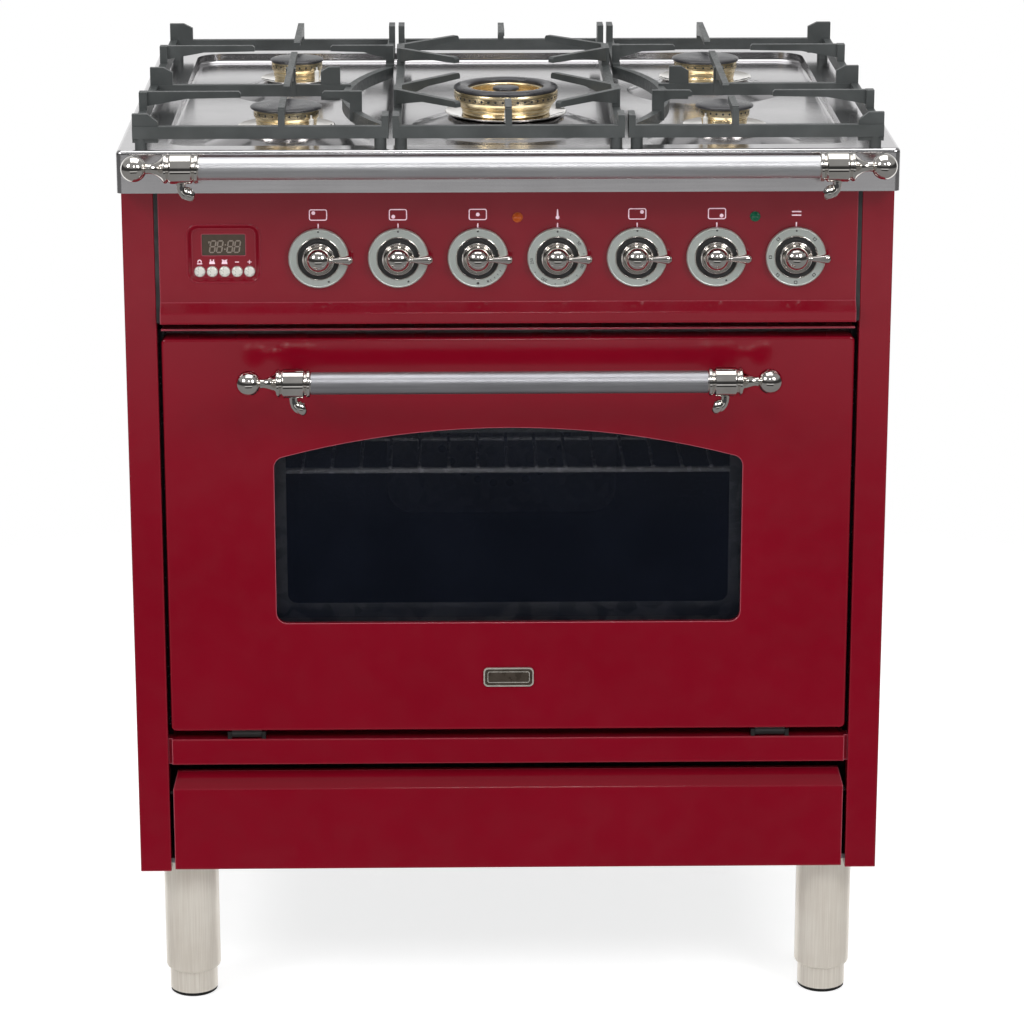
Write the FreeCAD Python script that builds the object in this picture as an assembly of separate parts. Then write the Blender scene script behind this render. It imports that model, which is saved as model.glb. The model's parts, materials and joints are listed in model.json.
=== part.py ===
import FreeCAD, Part
import math
import os

os.makedirs("parts", exist_ok=True)

# Freestanding gas range, millimetres. +Z up, front towards -Y, floor at Z = 0.
# X = 0 is the middle of the width; Y = 0 is the middle of the whole depth.

# --- overall sizes -------------------------------------------------------------------------
BODY_W = 760.0
BODY_D = 590.0
BODY_Z0 = 152.0
BODY_Z1 = 869.0
SHEET = 1.5
WORKTOP_W = 764.0
WORKTOP_D = 620.0
WORKTOP_LIP = 42.0
WORKTOP_NOSE = 25.0
PANEL_W = 689.0
STILE_W = 31.5
STILE_RETURN = 18.0
BARREL_R = 14.5
BALL_R = 12.6
CURL_R = 9.0
CURL_WIRE = 3.4
LUG_R = 5.8
WALL_STEM_R = 5.5
WALL_STEM_DROP = 9.0
WALL_FLANGE_R = 9.0
RAIL_STANDOFF = 45.0
TOTAL_D = BARREL_R + RAIL_STANDOFF + WORKTOP_D

# --- datum planes --------------------------------------------------------------------------
EDGE_Y = -TOTAL_D / 2 + BARREL_R + RAIL_STANDOFF   # front edge of the worktop
FRONT_Y = EDGE_Y + WORKTOP_NOSE                    # front face of the cabinet and the door
SKIN_X = BODY_W / 2 - SHEET                        # inner face of the side skins
PANEL_X = PANEL_W / 2
TOP_Z = BODY_Z1 + WORKTOP_LIP                      # border of the worktop

# --- worktop -------------------------------------------------------------------------------
TOP_SHEET = 1.2
BASIN_X = 337.0
BASIN_D0 = 25.0
BASIN_D1 = 582.0
BASIN_DEEP = 10.0
BASIN_R = 30.0
MOUND_SLOPE = 34.0

# --- burners: x, distance behind the worktop edge, cap, brass and skirt diameters ----------
BURNERS = {
    "front_left": (-220.0, 105.0, 72.0, 65.0, 98.0),
    "rear_left": (-220.0, 390.0, 57.0, 54.0, 78.0),
    "rear_right": (217.0, 390.0, 72.0, 67.0, 99.0),
    "front_right": (217.0, 105.0, 58.0, 50.0, 85.0),
}
WOK_D = 185.0
WOK_CAP_R = 53.0
WOK_CAP_INNER_R = 38.0
WOK_SKIRT_R = 62.0
WOK_RING_R = 55.5
SKIRT_H = 4.0
RING_H = 23.0
CAP_H = 27.0
WOK_RING_H = 28.0
WOK_CAP_H = 32.5
IGNITER_R = 2.4
IGNITER_GAP = 3.6
IGNITER_TURN = 45.0

# --- grates --------------------------------------------------------------------------------
GRATE_TOP = 40.0
GRATE_LOW = 22.0
GRATE_BAR = 8.0
FINGER = 6.5
FINGER_DEEP = 7.0
GRATE_D0 = 8.0
GRATE_D1 = 548.0
CENTRE_X = 113.0
SIDE_X0 = 117.0
SIDE_X1 = 366.0
SIDE_ARC_BULGE = 46.0
SIDE_ARC_D = (24.0, 376.0)

# --- control panel -------------------------------------------------------------------------
PANEL_Z0 = 733.5
NOSE_Z = 744.6
SLOPE_Z = 754.0
NOSE = 8.0
KNOB_Z = 799.0
KNOB_X0 = -187.2
KNOB_PITCH = 78.5
KNOB_NAMES = ("rear_left", "front_left", "wok", "oven", "rear_right", "front_right", "selector")
STEM_R = 3.0
RUNNING = 0.06
DIAL_R = 30.0
LAMP_X = (8.9, 243.0)
LAMP_Z = 839.0
TIMER_X = -280.8
TIMER_Z = 803.4
TIMER_W = 73.6
TIMER_H = 60.0
TIMER_R = 12.0
TIMER_DEEP = 4.0
DISPLAY_W = 42.8
DISPLAY_H = 21.3
DISPLAY_Z = 811.4
BUTTON_R = 5.4
BUTTON_Z = 784.6
BUTTON_PITCH = 12.3
BUTTON_NAMES = ("bell", "cook_time", "end_time", "minus", "plus")

# --- door ----------------------------------------------------------------------------------
DOOR_Z0 = 305.0
DOOR_Z1 = 717.0
DOOR_D = 38.0
DOOR_RETURN = 22.0
WINDOW_X = 235.0
WINDOW_Z0 = 420.3
WINDOW_SIDE_Z = 592.7
WINDOW_CROWN_Z = 624.7
HANDLE_Z = 686.5
HANDLE_STANDOFF = 60.0
BAR_R = 11.0
BADGE_Z = 362.0
HINGE_X = 268.0
HINGE_W = 30.0
HINGE_Y = FRONT_Y + 4.0
HINGE_Z = 300.5
HINGE_PIN_R = 1.6

# --- lower front ---------------------------------------------------------------------------
RAIL_Z0 = 268.5
RAIL_Z1 = 296.0
DRAWER_Z0 = 153.5
DRAWER_FACE_Z = 241.8
DRAWER_Z1 = 257.0
DRAWER_SLOPE = 14.0
BOX_X = 318.0
BOX_D = 420.0
BOX_Z0 = 168.0
BOX_Z1 = 240.0

# --- oven ----------------------------------------------------------------------------------
FRAME_Y = FRONT_Y + 44.0
CAVITY_X = 290.0
CAVITY_Z0 = 330.0
CAVITY_Z1 = 692.0
CAVITY_Y1 = FRONT_Y + 500.0
SHELF_Z = 558.0
SHELF_Y0 = FRONT_Y + 80.0
SHELF_Y1 = FRONT_Y + 466.0
SHELF_X = 280.0
SHELF_PITCH = 30.0
FAN_Z = 510.0
BACK_Y = FRONT_Y + 555.0
INLET_X = 345.0
INLET_R = 10.65
GLAND_X = -300.0
GLAND_R = 8.0
GLAND_LEN = 12.0

# --- legs ----------------------------------------------------------------------------------
LEG_X = 331.5
LEG_Y = (FRONT_Y + 50.0, FRONT_Y + 515.0)
LEG_R = 28.5
LEG_Z0 = 27.5
FOOT_R = 24.75
GLIDE_H = 4.0
FOOT_UP = 58.0

AX = FreeCAD.Vector(1, 0, 0)
AY = FreeCAD.Vector(0, 1, 0)
AZ = FreeCAD.Vector(0, 0, 1)


# --- shape helpers -------------------------------------------------------------------------
def vec(x, y, z):
    return FreeCAD.Vector(x, y, z)


def box(x0, x1, y0, y1, z0, z1):
    return Part.makeBox(x1 - x0, y1 - y0, z1 - z0, vec(x0, y0, z0))


def rod(start, axis, radius, length):
    return Part.makeCylinder(radius, length, start, axis)


def tube(start, axis, outer, inner, length):
    return rod(start, axis, outer, length).cut(rod(start, axis, inner, length))


def fuse(shapes):
    first, *rest = shapes
    return first.multiFuse(rest).removeSplitter() if rest else first


def mirrored(shape):
    return shape.mirror(vec(0, 0, 0), AX)


def pair(shape):
    return Part.makeCompound([shape, mirrored(shape)])


def turned(points, origin, axis):
    """Solid of revolution: points are (distance along the axis, radius)."""
    side = vec(0, 0, 1) if abs(axis.z) < 0.5 else vec(1, 0, 0)
    wire = Part.makePolygon([origin + axis * a + side * r for a, r in points + points[:1]])
    return Part.Face(wire).revolve(origin, axis, 360)


def prism(points, along, start, length):
    """Polygon in the plane normal to X, Y or Z, pushed along that axis."""
    if along == "x":
        corners = [vec(start, a, b) for a, b in points]
        push = vec(length, 0, 0)
    elif along == "y":
        corners = [vec(a, start, b) for a, b in points]
        push = vec(0, length, 0)
    else:
        corners = [vec(a, b, start) for a, b in points]
        push = vec(0, 0, length)
    return Part.Face(Part.makePolygon(corners + corners[:1])).extrude(push)


def parallel_edges(shape, axis, where=lambda edge: True):
    found = []
    for edge in shape.Edges:
        if edge.Curve.TypeId != "Part::GeomLine":
            continue
        if abs(edge.tangentAt(edge.FirstParameter).dot(axis)) > 0.999 and where(edge):
            found.append(edge)
    return found


def round_box(x0, x1, y0, y1, z0, z1, axis, radius):
    block = box(x0, x1, y0, y1, z0, z1)
    return block.makeFillet(radius, parallel_edges(block, axis))


def level_edges(shape, z):
    """Edges that lie wholly at one height."""
    return [e for e in shape.Edges if abs(e.BoundBox.ZMin - z) < 1e-6 and abs(e.BoundBox.ZMax - z) < 1e-6]


def front_edges(shape, y):
    return [e for e in shape.Edges if abs(e.BoundBox.YMin - y) < 1e-6 and abs(e.BoundBox.YMax - y) < 1e-6]


def save(name, shape):
    shape.exportStep("parts/" + name + ".step")


# --- cabinet -------------------------------------------------------------------------------
def side_panel():
    """Left side: outer skin with a front stile, its inner return and a rear flange."""
    x = -BODY_W / 2
    rear = FRONT_Y + BODY_D
    skin = box(x, x + SHEET, FRONT_Y, rear, BODY_Z0, BODY_Z1)
    stile = box(x, x + STILE_W, FRONT_Y, FRONT_Y + SHEET, BODY_Z0, BODY_Z1)
    inner = x + STILE_W
    hem = box(inner - SHEET, inner, FRONT_Y, FRONT_Y + STILE_RETURN, BODY_Z0, BODY_Z1)
    flange = box(x, x + 20.0, rear - SHEET, rear, BODY_Z0, BODY_Z1)
    panel = fuse([skin, stile, hem, flange])
    corners = parallel_edges(panel, AZ, lambda e: abs(e.BoundBox.YMin - FRONT_Y) < 1e-6)
    return panel.makeFillet(1.2, corners)


def back_panel():
    """Recessed rear sheet with vent slots, the gas pipe's clearance hole and a cable gland."""
    sheet = box(-SKIN_X, SKIN_X, BACK_Y, BACK_Y + SHEET, 160.0, BODY_Z1 - 4.0)
    cuts = [rod(vec(INLET_X, BACK_Y - 1, KNOB_Z), AY, 12.0, 5.0)]
    for row in range(6):
        for side in (-1, 1):
            z = 420.0 + 24.0 * row
            cuts.append(box(side * 160.0 - 70.0, side * 160.0 + 70.0, BACK_Y - 1, BACK_Y + 3, z, z + 6.0))
    gland_z = 240.0
    boss = rod(vec(GLAND_X, BACK_Y - 2.0, gland_z), AY, GLAND_R + 6.0, GLAND_LEN)
    sheet = fuse([sheet.cut(Part.makeCompound(cuts)), boss])
    return sheet.cut(rod(vec(GLAND_X, BACK_Y - 3.0, gland_z), AY, GLAND_R, GLAND_LEN + 2.0))


def base_frame():
    """Floor tray of the cabinet with upturned edges and a doubling plate over each leg."""
    y0 = FRONT_Y + 24.0
    y1 = BACK_Y
    tray = box(-SKIN_X, SKIN_X, y0, y1, BODY_Z0, BODY_Z0 + SHEET)
    rear = box(-SKIN_X, SKIN_X, y1 - SHEET, y1, BODY_Z0, BODY_Z0 + 30.0)
    solids = [tray, rear]
    for side in (-1, 1):
        edge = side * (SKIN_X - SHEET / 2)
        solids.append(box(edge - SHEET / 2, edge + SHEET / 2, y0, y1, BODY_Z0, BODY_Z0 + 24.0))
        for y in LEG_Y:
            near = max(y - 36.0, y0)
            solids.append(box(side * LEG_X - 36, side * LEG_X + 36, near, y + 36, BODY_Z0, BODY_Z0 + 5.0))
    return fuse(solids)


def lower_rail():
    """Fixed strip between the door and the drawer, a channel open to the back."""
    y = FRONT_Y
    face = box(-PANEL_X, PANEL_X, y, y + SHEET, RAIL_Z0, RAIL_Z1)
    top = box(-PANEL_X, PANEL_X, y, y + 40.0, RAIL_Z1 - SHEET, RAIL_Z1)
    low = box(-PANEL_X, PANEL_X, y, y + 30.0, RAIL_Z0, RAIL_Z0 + SHEET)
    strip = fuse([face, top, low])
    long_edges = parallel_edges(strip, AX, lambda e: abs(e.BoundBox.YMin - y) < 1e-6)
    strip = strip.makeFillet(1.0, long_edges)
    tab = box(PANEL_X - 2.0, BODY_W / 2 - STILE_W, y + 4, y + STILE_RETURN, RAIL_Z0, RAIL_Z1)
    return fuse([strip, tab, mirrored(tab)])


def knob_x(index):
    return KNOB_X0 + KNOB_PITCH * index


def control_panel():
    """Fascia: flat face, a slope out to a short nose, and a return under the nose."""
    y = FRONT_Y
    skin = [(y, BODY_Z1), (y, SLOPE_Z), (y - NOSE, NOSE_Z), (y - NOSE, PANEL_Z0), (y + 30, PANEL_Z0),
            (y + 30, PANEL_Z0 + SHEET), (y - NOSE + SHEET, PANEL_Z0 + SHEET),
            (y - NOSE + SHEET, NOSE_Z - 0.7), (y + SHEET, SLOPE_Z - 0.7), (y + SHEET, BODY_Z1 - SHEET),
            (y + 20, BODY_Z1 - SHEET), (y + 20, BODY_Z1)]
    fascia = prism(skin, "x", -PANEL_X, PANEL_W)
    outer = parallel_edges(fascia, AX, lambda e: e.BoundBox.YMax < y - NOSE + 0.01)
    fascia = fascia.makeFillet(1.2, outer)
    cuts = [rod(vec(knob_x(i), y - 1, KNOB_Z), AY, STEM_R + 3.0, 4.0) for i in range(len(KNOB_NAMES))]
    cuts += [rod(vec(x, y - 1, LAMP_Z), AY, 4.5, 4.0) for x in LAMP_X]
    cuts.append(timer_plug(y - 1, 4.0, 1.5))
    fascia = fascia.cut(Part.makeCompound(cuts))
    tab = box(PANEL_X - 2.0, BODY_W / 2 - STILE_W, y + SHEET, y + STILE_RETURN, 760.0, BODY_Z1 - 8.0)
    return fuse([fascia, tab, mirrored(tab)])


def timer_plug(y0, depth, inset):
    half_w = TIMER_W / 2 - inset
    half_h = TIMER_H / 2 - inset
    return round_box(TIMER_X - half_w, TIMER_X + half_w, y0, y0 + depth,
                     TIMER_Z - half_h, TIMER_Z + half_h, AY, TIMER_R - inset)


def button_x(index):
    return TIMER_X + BUTTON_PITCH * (index - 2) + 0.6


def timer_bezel():
    """Rounded tray let into the fascia, with the display window and five button holes."""
    y = FRONT_Y
    rim = timer_plug(y - 0.8, 0.8, 0.0)
    cup = timer_plug(y, TIMER_DEEP + 2.0, 1.5)
    tray = fuse([rim, cup]).cut(timer_plug(y - 2.0, TIMER_DEEP + 2.0, 3.5))
    floor = y + TIMER_DEEP - 1.0
    cuts = [rod(vec(button_x(i), floor, BUTTON_Z), AY, BUTTON_R + 0.1, 6.0) for i in range(len(BUTTON_NAMES))]
    cuts.append(box(TIMER_X - DISPLAY_W / 2, TIMER_X + DISPLAY_W / 2, floor, floor + 6.0,
                    DISPLAY_Z - DISPLAY_H / 2, DISPLAY_Z + DISPLAY_H / 2))
    return tray.cut(Part.makeCompound(cuts))


def timer_display():
    y = FRONT_Y + TIMER_DEEP
    pane = box(TIMER_X - DISPLAY_W / 2, TIMER_X + DISPLAY_W / 2, y + 0.4, y + 2.0,
               DISPLAY_Z - DISPLAY_H / 2, DISPLAY_Z + DISPLAY_H / 2)
    body = box(TIMER_X - 25.0, TIMER_X + 25.0, y + 2.0, y + 16.0, DISPLAY_Z - 14.0, DISPLAY_Z + 14.0)
    return fuse([pane, body])


def timer_button(index):
    """Round cap on a flange that stops behind the tray floor."""
    y = FRONT_Y + TIMER_DEEP
    cap = [(-2.6, 0.0), (-2.6, BUTTON_R - 1.0), (-1.6, BUTTON_R), (2.4, BUTTON_R),
           (2.4, BUTTON_R + 0.5), (3.6, BUTTON_R + 0.5), (3.6, 0.0)]
    return turned(cap, vec(button_x(index), y, BUTTON_Z), AY)


def indicator_lamp(x):
    y = FRONT_Y
    lens = [(-2.2, 0.0), (-1.8, 2.4), (-0.9, 4.4), (-0.0, 5.25), (0.0, 4.5), (14.0, 4.5), (14.0, 0.0)]
    return turned(lens, vec(x, y, LAMP_Z), AY)


def vent_trim():
    """Cooling outlet over the door: a thin louvre blade in front of a slotted plate."""
    y = FRONT_Y + 2.0
    plate_y = FRONT_Y + 30.0
    blade = box(-PANEL_X, PANEL_X, y, plate_y, 725.0, 726.8)
    plate = box(-PANEL_X, PANEL_X, plate_y, plate_y + SHEET, 718.5, PANEL_Z0 - 0.2)
    slots = []
    for i in range(11):
        x = -295.0 + 59.0 * i
        slots.append(box(x - 24.0, x + 24.0, plate_y - 1, plate_y + 3, 719.8, 724.0))
        slots.append(box(x - 24.0, x + 24.0, plate_y - 1, plate_y + 3, 728.2, 732.0))
    return fuse([blade, plate.cut(Part.makeCompound(slots))])


# --- worktop, burners and grates -----------------------------------------------------------
def hob(x, depth, height):
    """Point over the worktop: distance behind its front edge, height over its border."""
    return vec(x, EDGE_Y + depth, TOP_Z + height)


def burner_places():
    places = [(x, depth, skirt / 2) for x, depth, cap, ring, skirt in BURNERS.values()]
    return places + [(0.0, WOK_D, WOK_SKIRT_R)]


def worktop_block(inset):
    """Everything under the pressed surface, moved inwards by the given amount."""
    half = WORKTOP_W / 2 - inset
    y0 = EDGE_Y + inset
    y1 = EDGE_Y + WORKTOP_D - inset
    z1 = TOP_Z - inset
    z0 = BODY_Z1 - (1.0 if inset else 0.0)
    block = box(-half, half, y0, y1, z0, z1)
    block = block.makeFillet(6.0 - inset, parallel_edges(block, AZ))
    block = block.makeFillet(4.0 - inset, level_edges(block, z1))
    floor = TOP_Z - BASIN_DEEP - inset
    basin = round_box(-BASIN_X - inset, BASIN_X + inset, EDGE_Y + BASIN_D0 - inset,
                      EDGE_Y + BASIN_D1 + inset, floor, TOP_Z + 5, AZ, BASIN_R + inset)
    block = block.cut(basin.makeFillet(4.0 + inset, level_edges(basin, floor)))
    mounds = []
    for x, depth, skirt in burner_places():
        rise = BASIN_DEEP + SKIRT_H - 2.0
        centre = hob(x, depth, -BASIN_DEEP - inset)
        mounds.append(Part.makeCone(skirt + MOUND_SLOPE - inset, skirt - 4.0 - inset, rise, centre, AZ))
    limit = box(-BASIN_X - 1, BASIN_X + 1, EDGE_Y + BASIN_D0 - 1, EDGE_Y + BASIN_D1 + 1, floor - 1, TOP_Z + 5)
    mounds = [mound.common(limit) for mound in mounds]
    return block.multiFuse(mounds)


def worktop():
    """Pressed steel top with a lip all round, a basin, and a raised mound under each burner."""
    shell = worktop_block(0.0).cut(worktop_block(TOP_SHEET))
    holes = [rod(hob(x, depth, -20.0), AZ, 24.0, 40.0) for x, depth, skirt in burner_places()]
    return shell.cut(Part.makeCompound(holes)).removeSplitter()


def burner_cup(x, depth, skirt_r):
    """Burner body: mixing cup through the worktop and a dished skirt resting on the mound."""
    base = SKIRT_H - 2.0
    profile = [(-30.0, 0.0), (-30.0, 23.5), (base, 23.5), (base, skirt_r - 8.0), (base + 3.0, skirt_r),
               (base + 4.2, skirt_r), (base + 2.0, skirt_r - 9.0), (base + 2.0, 0.0)]
    return turned(profile, hob(x, depth, 0.0), AZ)


def ported(ring, centre, radius, count, height, port_r):
    """Cut a row of round gas ports through the wall of a flame ring."""
    ports = []
    for i in range(count):
        angle = 2 * math.pi * (i + 0.5) / count
        out = vec(math.cos(angle), math.sin(angle), 0)
        ports.append(rod(centre + out * (radius - 8.0) + AZ * height, out, port_r, 14.0))
    return ring.cut(Part.makeCompound(ports))


def flame_ring(x, depth, ring_r):
    base = SKIRT_H
    profile = [(base, ring_r - 8.0), (base, ring_r - 3.0), (base + 4.0, ring_r - 1.5),
               (RING_H - 9.0, ring_r - 1.5), (RING_H - 6.0, ring_r), (RING_H, ring_r), (RING_H, ring_r - 6.0)]
    ring = turned(profile, hob(x, depth, 0.0), AZ)
    return ported(ring, hob(x, depth, 0.0), ring_r, 20, RING_H - 3.4, 1.1)


def burner_cap(x, depth, cap_r):
    profile = [(RING_H, 0.0), (RING_H, cap_r - 1.5), (RING_H + 1.5, cap_r), (RING_H + 2.6, cap_r - 0.8),
               (CAP_H, cap_r - 6.0), (CAP_H + 0.8, 0.0)]
    return turned(profile, hob(x, depth, 0.0), AZ)


def wok_flame_ring():
    """Brass crown: tapered outer wall with ports, open ring channel and a small inner burner."""
    centre = hob(0.0, WOK_D, 0.0)
    outer = [(SKIRT_H, 34.0), (SKIRT_H, 42.5), (SKIRT_H + 7, 43.5), (SKIRT_H + 9, 51.0),
             (WOK_RING_H - 4, WOK_RING_R), (WOK_RING_H, WOK_RING_R), (WOK_RING_H, 36.0),
             (SKIRT_H + 6, 36.0), (SKIRT_H + 6, 34.0)]
    inner = [(SKIRT_H, 0.0), (SKIRT_H, 34.0), (SKIRT_H + 3, 34.0), (SKIRT_H + 3, 11.0),
             (WOK_RING_H - 1, 12.0), (WOK_RING_H - 1, 0.0)]
    crown = fuse([turned(outer, centre, AZ), turned(inner, centre, AZ)])
    crown = ported(crown, centre, 55.0, 36, WOK_RING_H - 6.0, 1.2)
    return ported(crown, centre, 12.0, 12, WOK_RING_H - 5.0, 0.9)


def wok_caps():
    centre = hob(0.0, WOK_D, 0.0)
    ring = [(WOK_RING_H, WOK_CAP_INNER_R), (WOK_RING_H, WOK_CAP_R - 0.6),
            (WOK_RING_H + 1.8, WOK_CAP_R), (WOK_CAP_H - 0.8, WOK_CAP_R - 3.0),
            (WOK_CAP_H, WOK_CAP_R - 7.0), (WOK_CAP_H - 0.6, WOK_CAP_INNER_R)]
    middle = [(WOK_RING_H - 1, 0.0), (WOK_RING_H - 1, 13.5), (WOK_RING_H + 1, 13.5), (WOK_RING_H + 2.4, 9.0),
              (WOK_RING_H + 2.8, 0.0)]
    return [turned(ring, centre, AZ), turned(middle, centre, AZ)]


def igniter(x, depth, ring_r, inward):
    """Ceramic spark plug in the skirt, in front of the flame ring and turned inward by an angle."""
    reach = ring_r + IGNITER_GAP
    along, back = reach * math.sin(math.radians(inward)), reach * math.cos(math.radians(inward))
    tip = RING_H - 3.0
    profile = [(SKIRT_H, 0.0), (SKIRT_H, IGNITER_R), (tip - 4.0, IGNITER_R),
               (tip - 3.0, 0.9), (tip, 0.9), (tip, 0.0)]
    return turned(profile, hob(x - math.copysign(along, x), depth - back, 0.0), AZ)


def bar(x0, x1, d0, d1, h0, h1):
    left, right = min(x0, x1), max(x0, x1)
    return box(left, right, EDGE_Y + d0, EDGE_Y + d1, TOP_Z + h0, TOP_Z + h1)


def finger(x0, d0, x1, d1, drop=2.0, wide=FINGER):
    """Pan support between two plan points, its underside rising towards the tip."""
    start = vec(x0, EDGE_Y + d0, 0)
    end = vec(x1, EDGE_Y + d1, 0)
    run = (end - start).Length
    top = GRATE_TOP
    low = GRATE_TOP - FINGER_DEEP
    outline = [(0, low - 8.0), (0, top), (run - 2.0, top), (run, top - drop),
               (run, low + 1.0), (run * 0.45, low)]
    blade = prism([(a, TOP_Z + b) for a, b in outline], "y", -wide / 2, wide)
    angle = math.degrees(math.atan2(d1 - d0, x1 - x0))
    blade.rotate(vec(0, 0, 0), AZ, angle)
    blade.translate(start)
    return blade


def stub(x0, x1, d, height, lean=5.0, wide=FINGER):
    """Upright lug across the hob with one raked edge towards its inner end."""
    outline = [(x0, TOP_Z + 6.0), (x0, TOP_Z + height), (x0 + (x1 - x0) * 0.6, TOP_Z + height),
               (x1, TOP_Z + height - lean), (x1, TOP_Z + 6.0)]
    return prism(outline, "y", EDGE_Y + d - wide / 2, wide)


def side_arc():
    """Low inner rail of a side grate, bowed outwards round the middle burner."""
    d0, d1 = SIDE_ARC_D
    half = (d1 - d0) / 2
    radius = (half * half + SIDE_ARC_BULGE * SIDE_ARC_BULGE) / (2 * SIDE_ARC_BULGE)
    cx = SIDE_X0 + SIDE_ARC_BULGE - radius
    centre = hob(cx, (d0 + d1) / 2, 8.0)
    ring = tube(centre, AZ, radius + GRATE_BAR / 2, radius - GRATE_BAR / 2, 12.0)
    return ring.common(bar(SIDE_X0, SIDE_X0 + SIDE_ARC_BULGE + 10, d0 - 8, d1 + 8, 0.0, 40.0))


def side_grate():
    """Right-hand grate: low frame, feet, raised arms over two burners and corner lugs."""
    low = 10.0
    x0, x1 = SIDE_X0, SIDE_X1
    d0, d1 = GRATE_D0, GRATE_D1
    cx = BURNERS["front_right"][0] + 4.0
    front = BURNERS["front_right"][1]
    rear = BURNERS["rear_right"][1]
    parts = [
        bar(x0, x1, d0, d0 + GRATE_BAR, low, GRATE_LOW),
        bar(x0, x1, d1 - GRATE_BAR, d1, low, GRATE_LOW),
        bar(x1 - GRATE_BAR, x1, d0, d1, low, GRATE_LOW),
        bar(x0, x0 + GRATE_BAR, d0, SIDE_ARC_D[0] + 6, low, GRATE_LOW),
        bar(x0, x0 + GRATE_BAR, SIDE_ARC_D[1] - 6, d1, low, GRATE_LOW),
        bar(x0 + SIDE_ARC_BULGE - 4, x1, 246, 254, low, GRATE_LOW),
        side_arc(),
    ]
    for depth in (front, rear):
        parts.append(bar(x1 - GRATE_BAR, x1, depth - 6, depth + 6, low, GRATE_TOP))
        parts.append(finger(x1 - 3.0, depth, cx + 44.0, depth))
    arc_x = x0 + 1.0 + SIDE_ARC_BULGE * (1 - ((front - 200.0) / 176.0) ** 2)
    parts.append(bar(arc_x - 6, arc_x + 6, front - 4, front + 4, low, GRATE_TOP))
    parts.append(finger(arc_x, front, cx - 37.0, front))
    parts.append(bar(x0, x0 + GRATE_BAR, rear - 6, rear + 6, low, GRATE_TOP))
    parts.append(finger(x0 + 3.0, rear, cx - 37.0, rear))
    parts.append(finger(cx, 250.0, cx, front + 38.0))
    parts.append(finger(cx, 250.0, cx, rear - 40.0))
    parts.append(bar(cx - 5, cx + 5, 245, 255, low, GRATE_TOP - 1))
    for start, tip in ((d0, front - 32.0), (d1 - GRATE_BAR, rear + 29.0)):
        parts.append(bar(cx - FINGER / 2, cx + FINGER / 2, start, start + GRATE_BAR, low, GRATE_TOP - 1))
        parts.append(finger(cx, start + GRATE_BAR / 2, cx, tip))
    parts.append(stub(x1, x1 - 23, 250.0, GRATE_TOP))
    parts.append(stub(x0 + 53, x0 + 73, 250.0, GRATE_TOP))
    parts.append(stub(x1, x1 - 25, d1 - 5, GRATE_TOP))
    parts.append(stub(x1, x1 - 25, d0 + 5, GRATE_TOP - 6, 8.0))
    for depth, height in ((d0 + 14, GRATE_TOP - 8), (d1 - 14, GRATE_TOP)):
        parts.append(bar(x0, x0 + FINGER, depth - 14, depth + 14, low, height))
    for x in (x0 + 8, x1 - 8):
        for depth in (d0 + 6, d1 - 6):
            parts.append(rod(hob(x, depth, 0.0), AZ, 6.0, low + 4.0))
    return fuse(parts)


def centre_grate():
    """Middle grate: straight side bars, low front and rear rails and four V-shaped arms."""
    low = 10.0
    d0, d1 = GRATE_D0, GRATE_D1
    parts = [
        bar(-CENTRE_X, CENTRE_X, d0, d0 + GRATE_BAR, low, GRATE_LOW),
        bar(-CENTRE_X, CENTRE_X, d1 - GRATE_BAR, d1, low, GRATE_LOW),
    ]
    for side in (-1, 1):
        edge = side * CENTRE_X
        inner = edge - side * GRATE_BAR
        parts.append(bar(edge, inner, d0, d1, low, GRATE_LOW))
        for station, near, far in ((127.0, 43.0, 214.0), (383.0, 308.0, 457.0)):
            parts.append(bar(edge, inner, station - 16, station + 16, low, GRATE_TOP))
            parts.append(finger(edge - side * 3.5, station - 12, side * 49.0, near))
            parts.append(finger(edge - side * 3.5, station + 12, side * 49.0, far))
        for depth, height in ((d0 + 14, GRATE_TOP - 8), (d1 - 14, GRATE_TOP)):
            parts.append(bar(edge, edge - side * FINGER, depth - 14, depth + 14, low, height))
        for depth in (d0 + 6, d1 - 6):
            parts.append(rod(hob(edge - side * 8, depth, 0.0), AZ, 6.0, low + 4.0))
    for start, tip in ((d0, 62.0), (d1 - GRATE_BAR, 486.0)):
        parts.append(bar(-FINGER / 2, FINGER / 2, start, start + GRATE_BAR, low, GRATE_TOP - 1))
        parts.append(finger(0.0, start + GRATE_BAR / 2, 0.0, tip))
    return fuse(parts)


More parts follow.
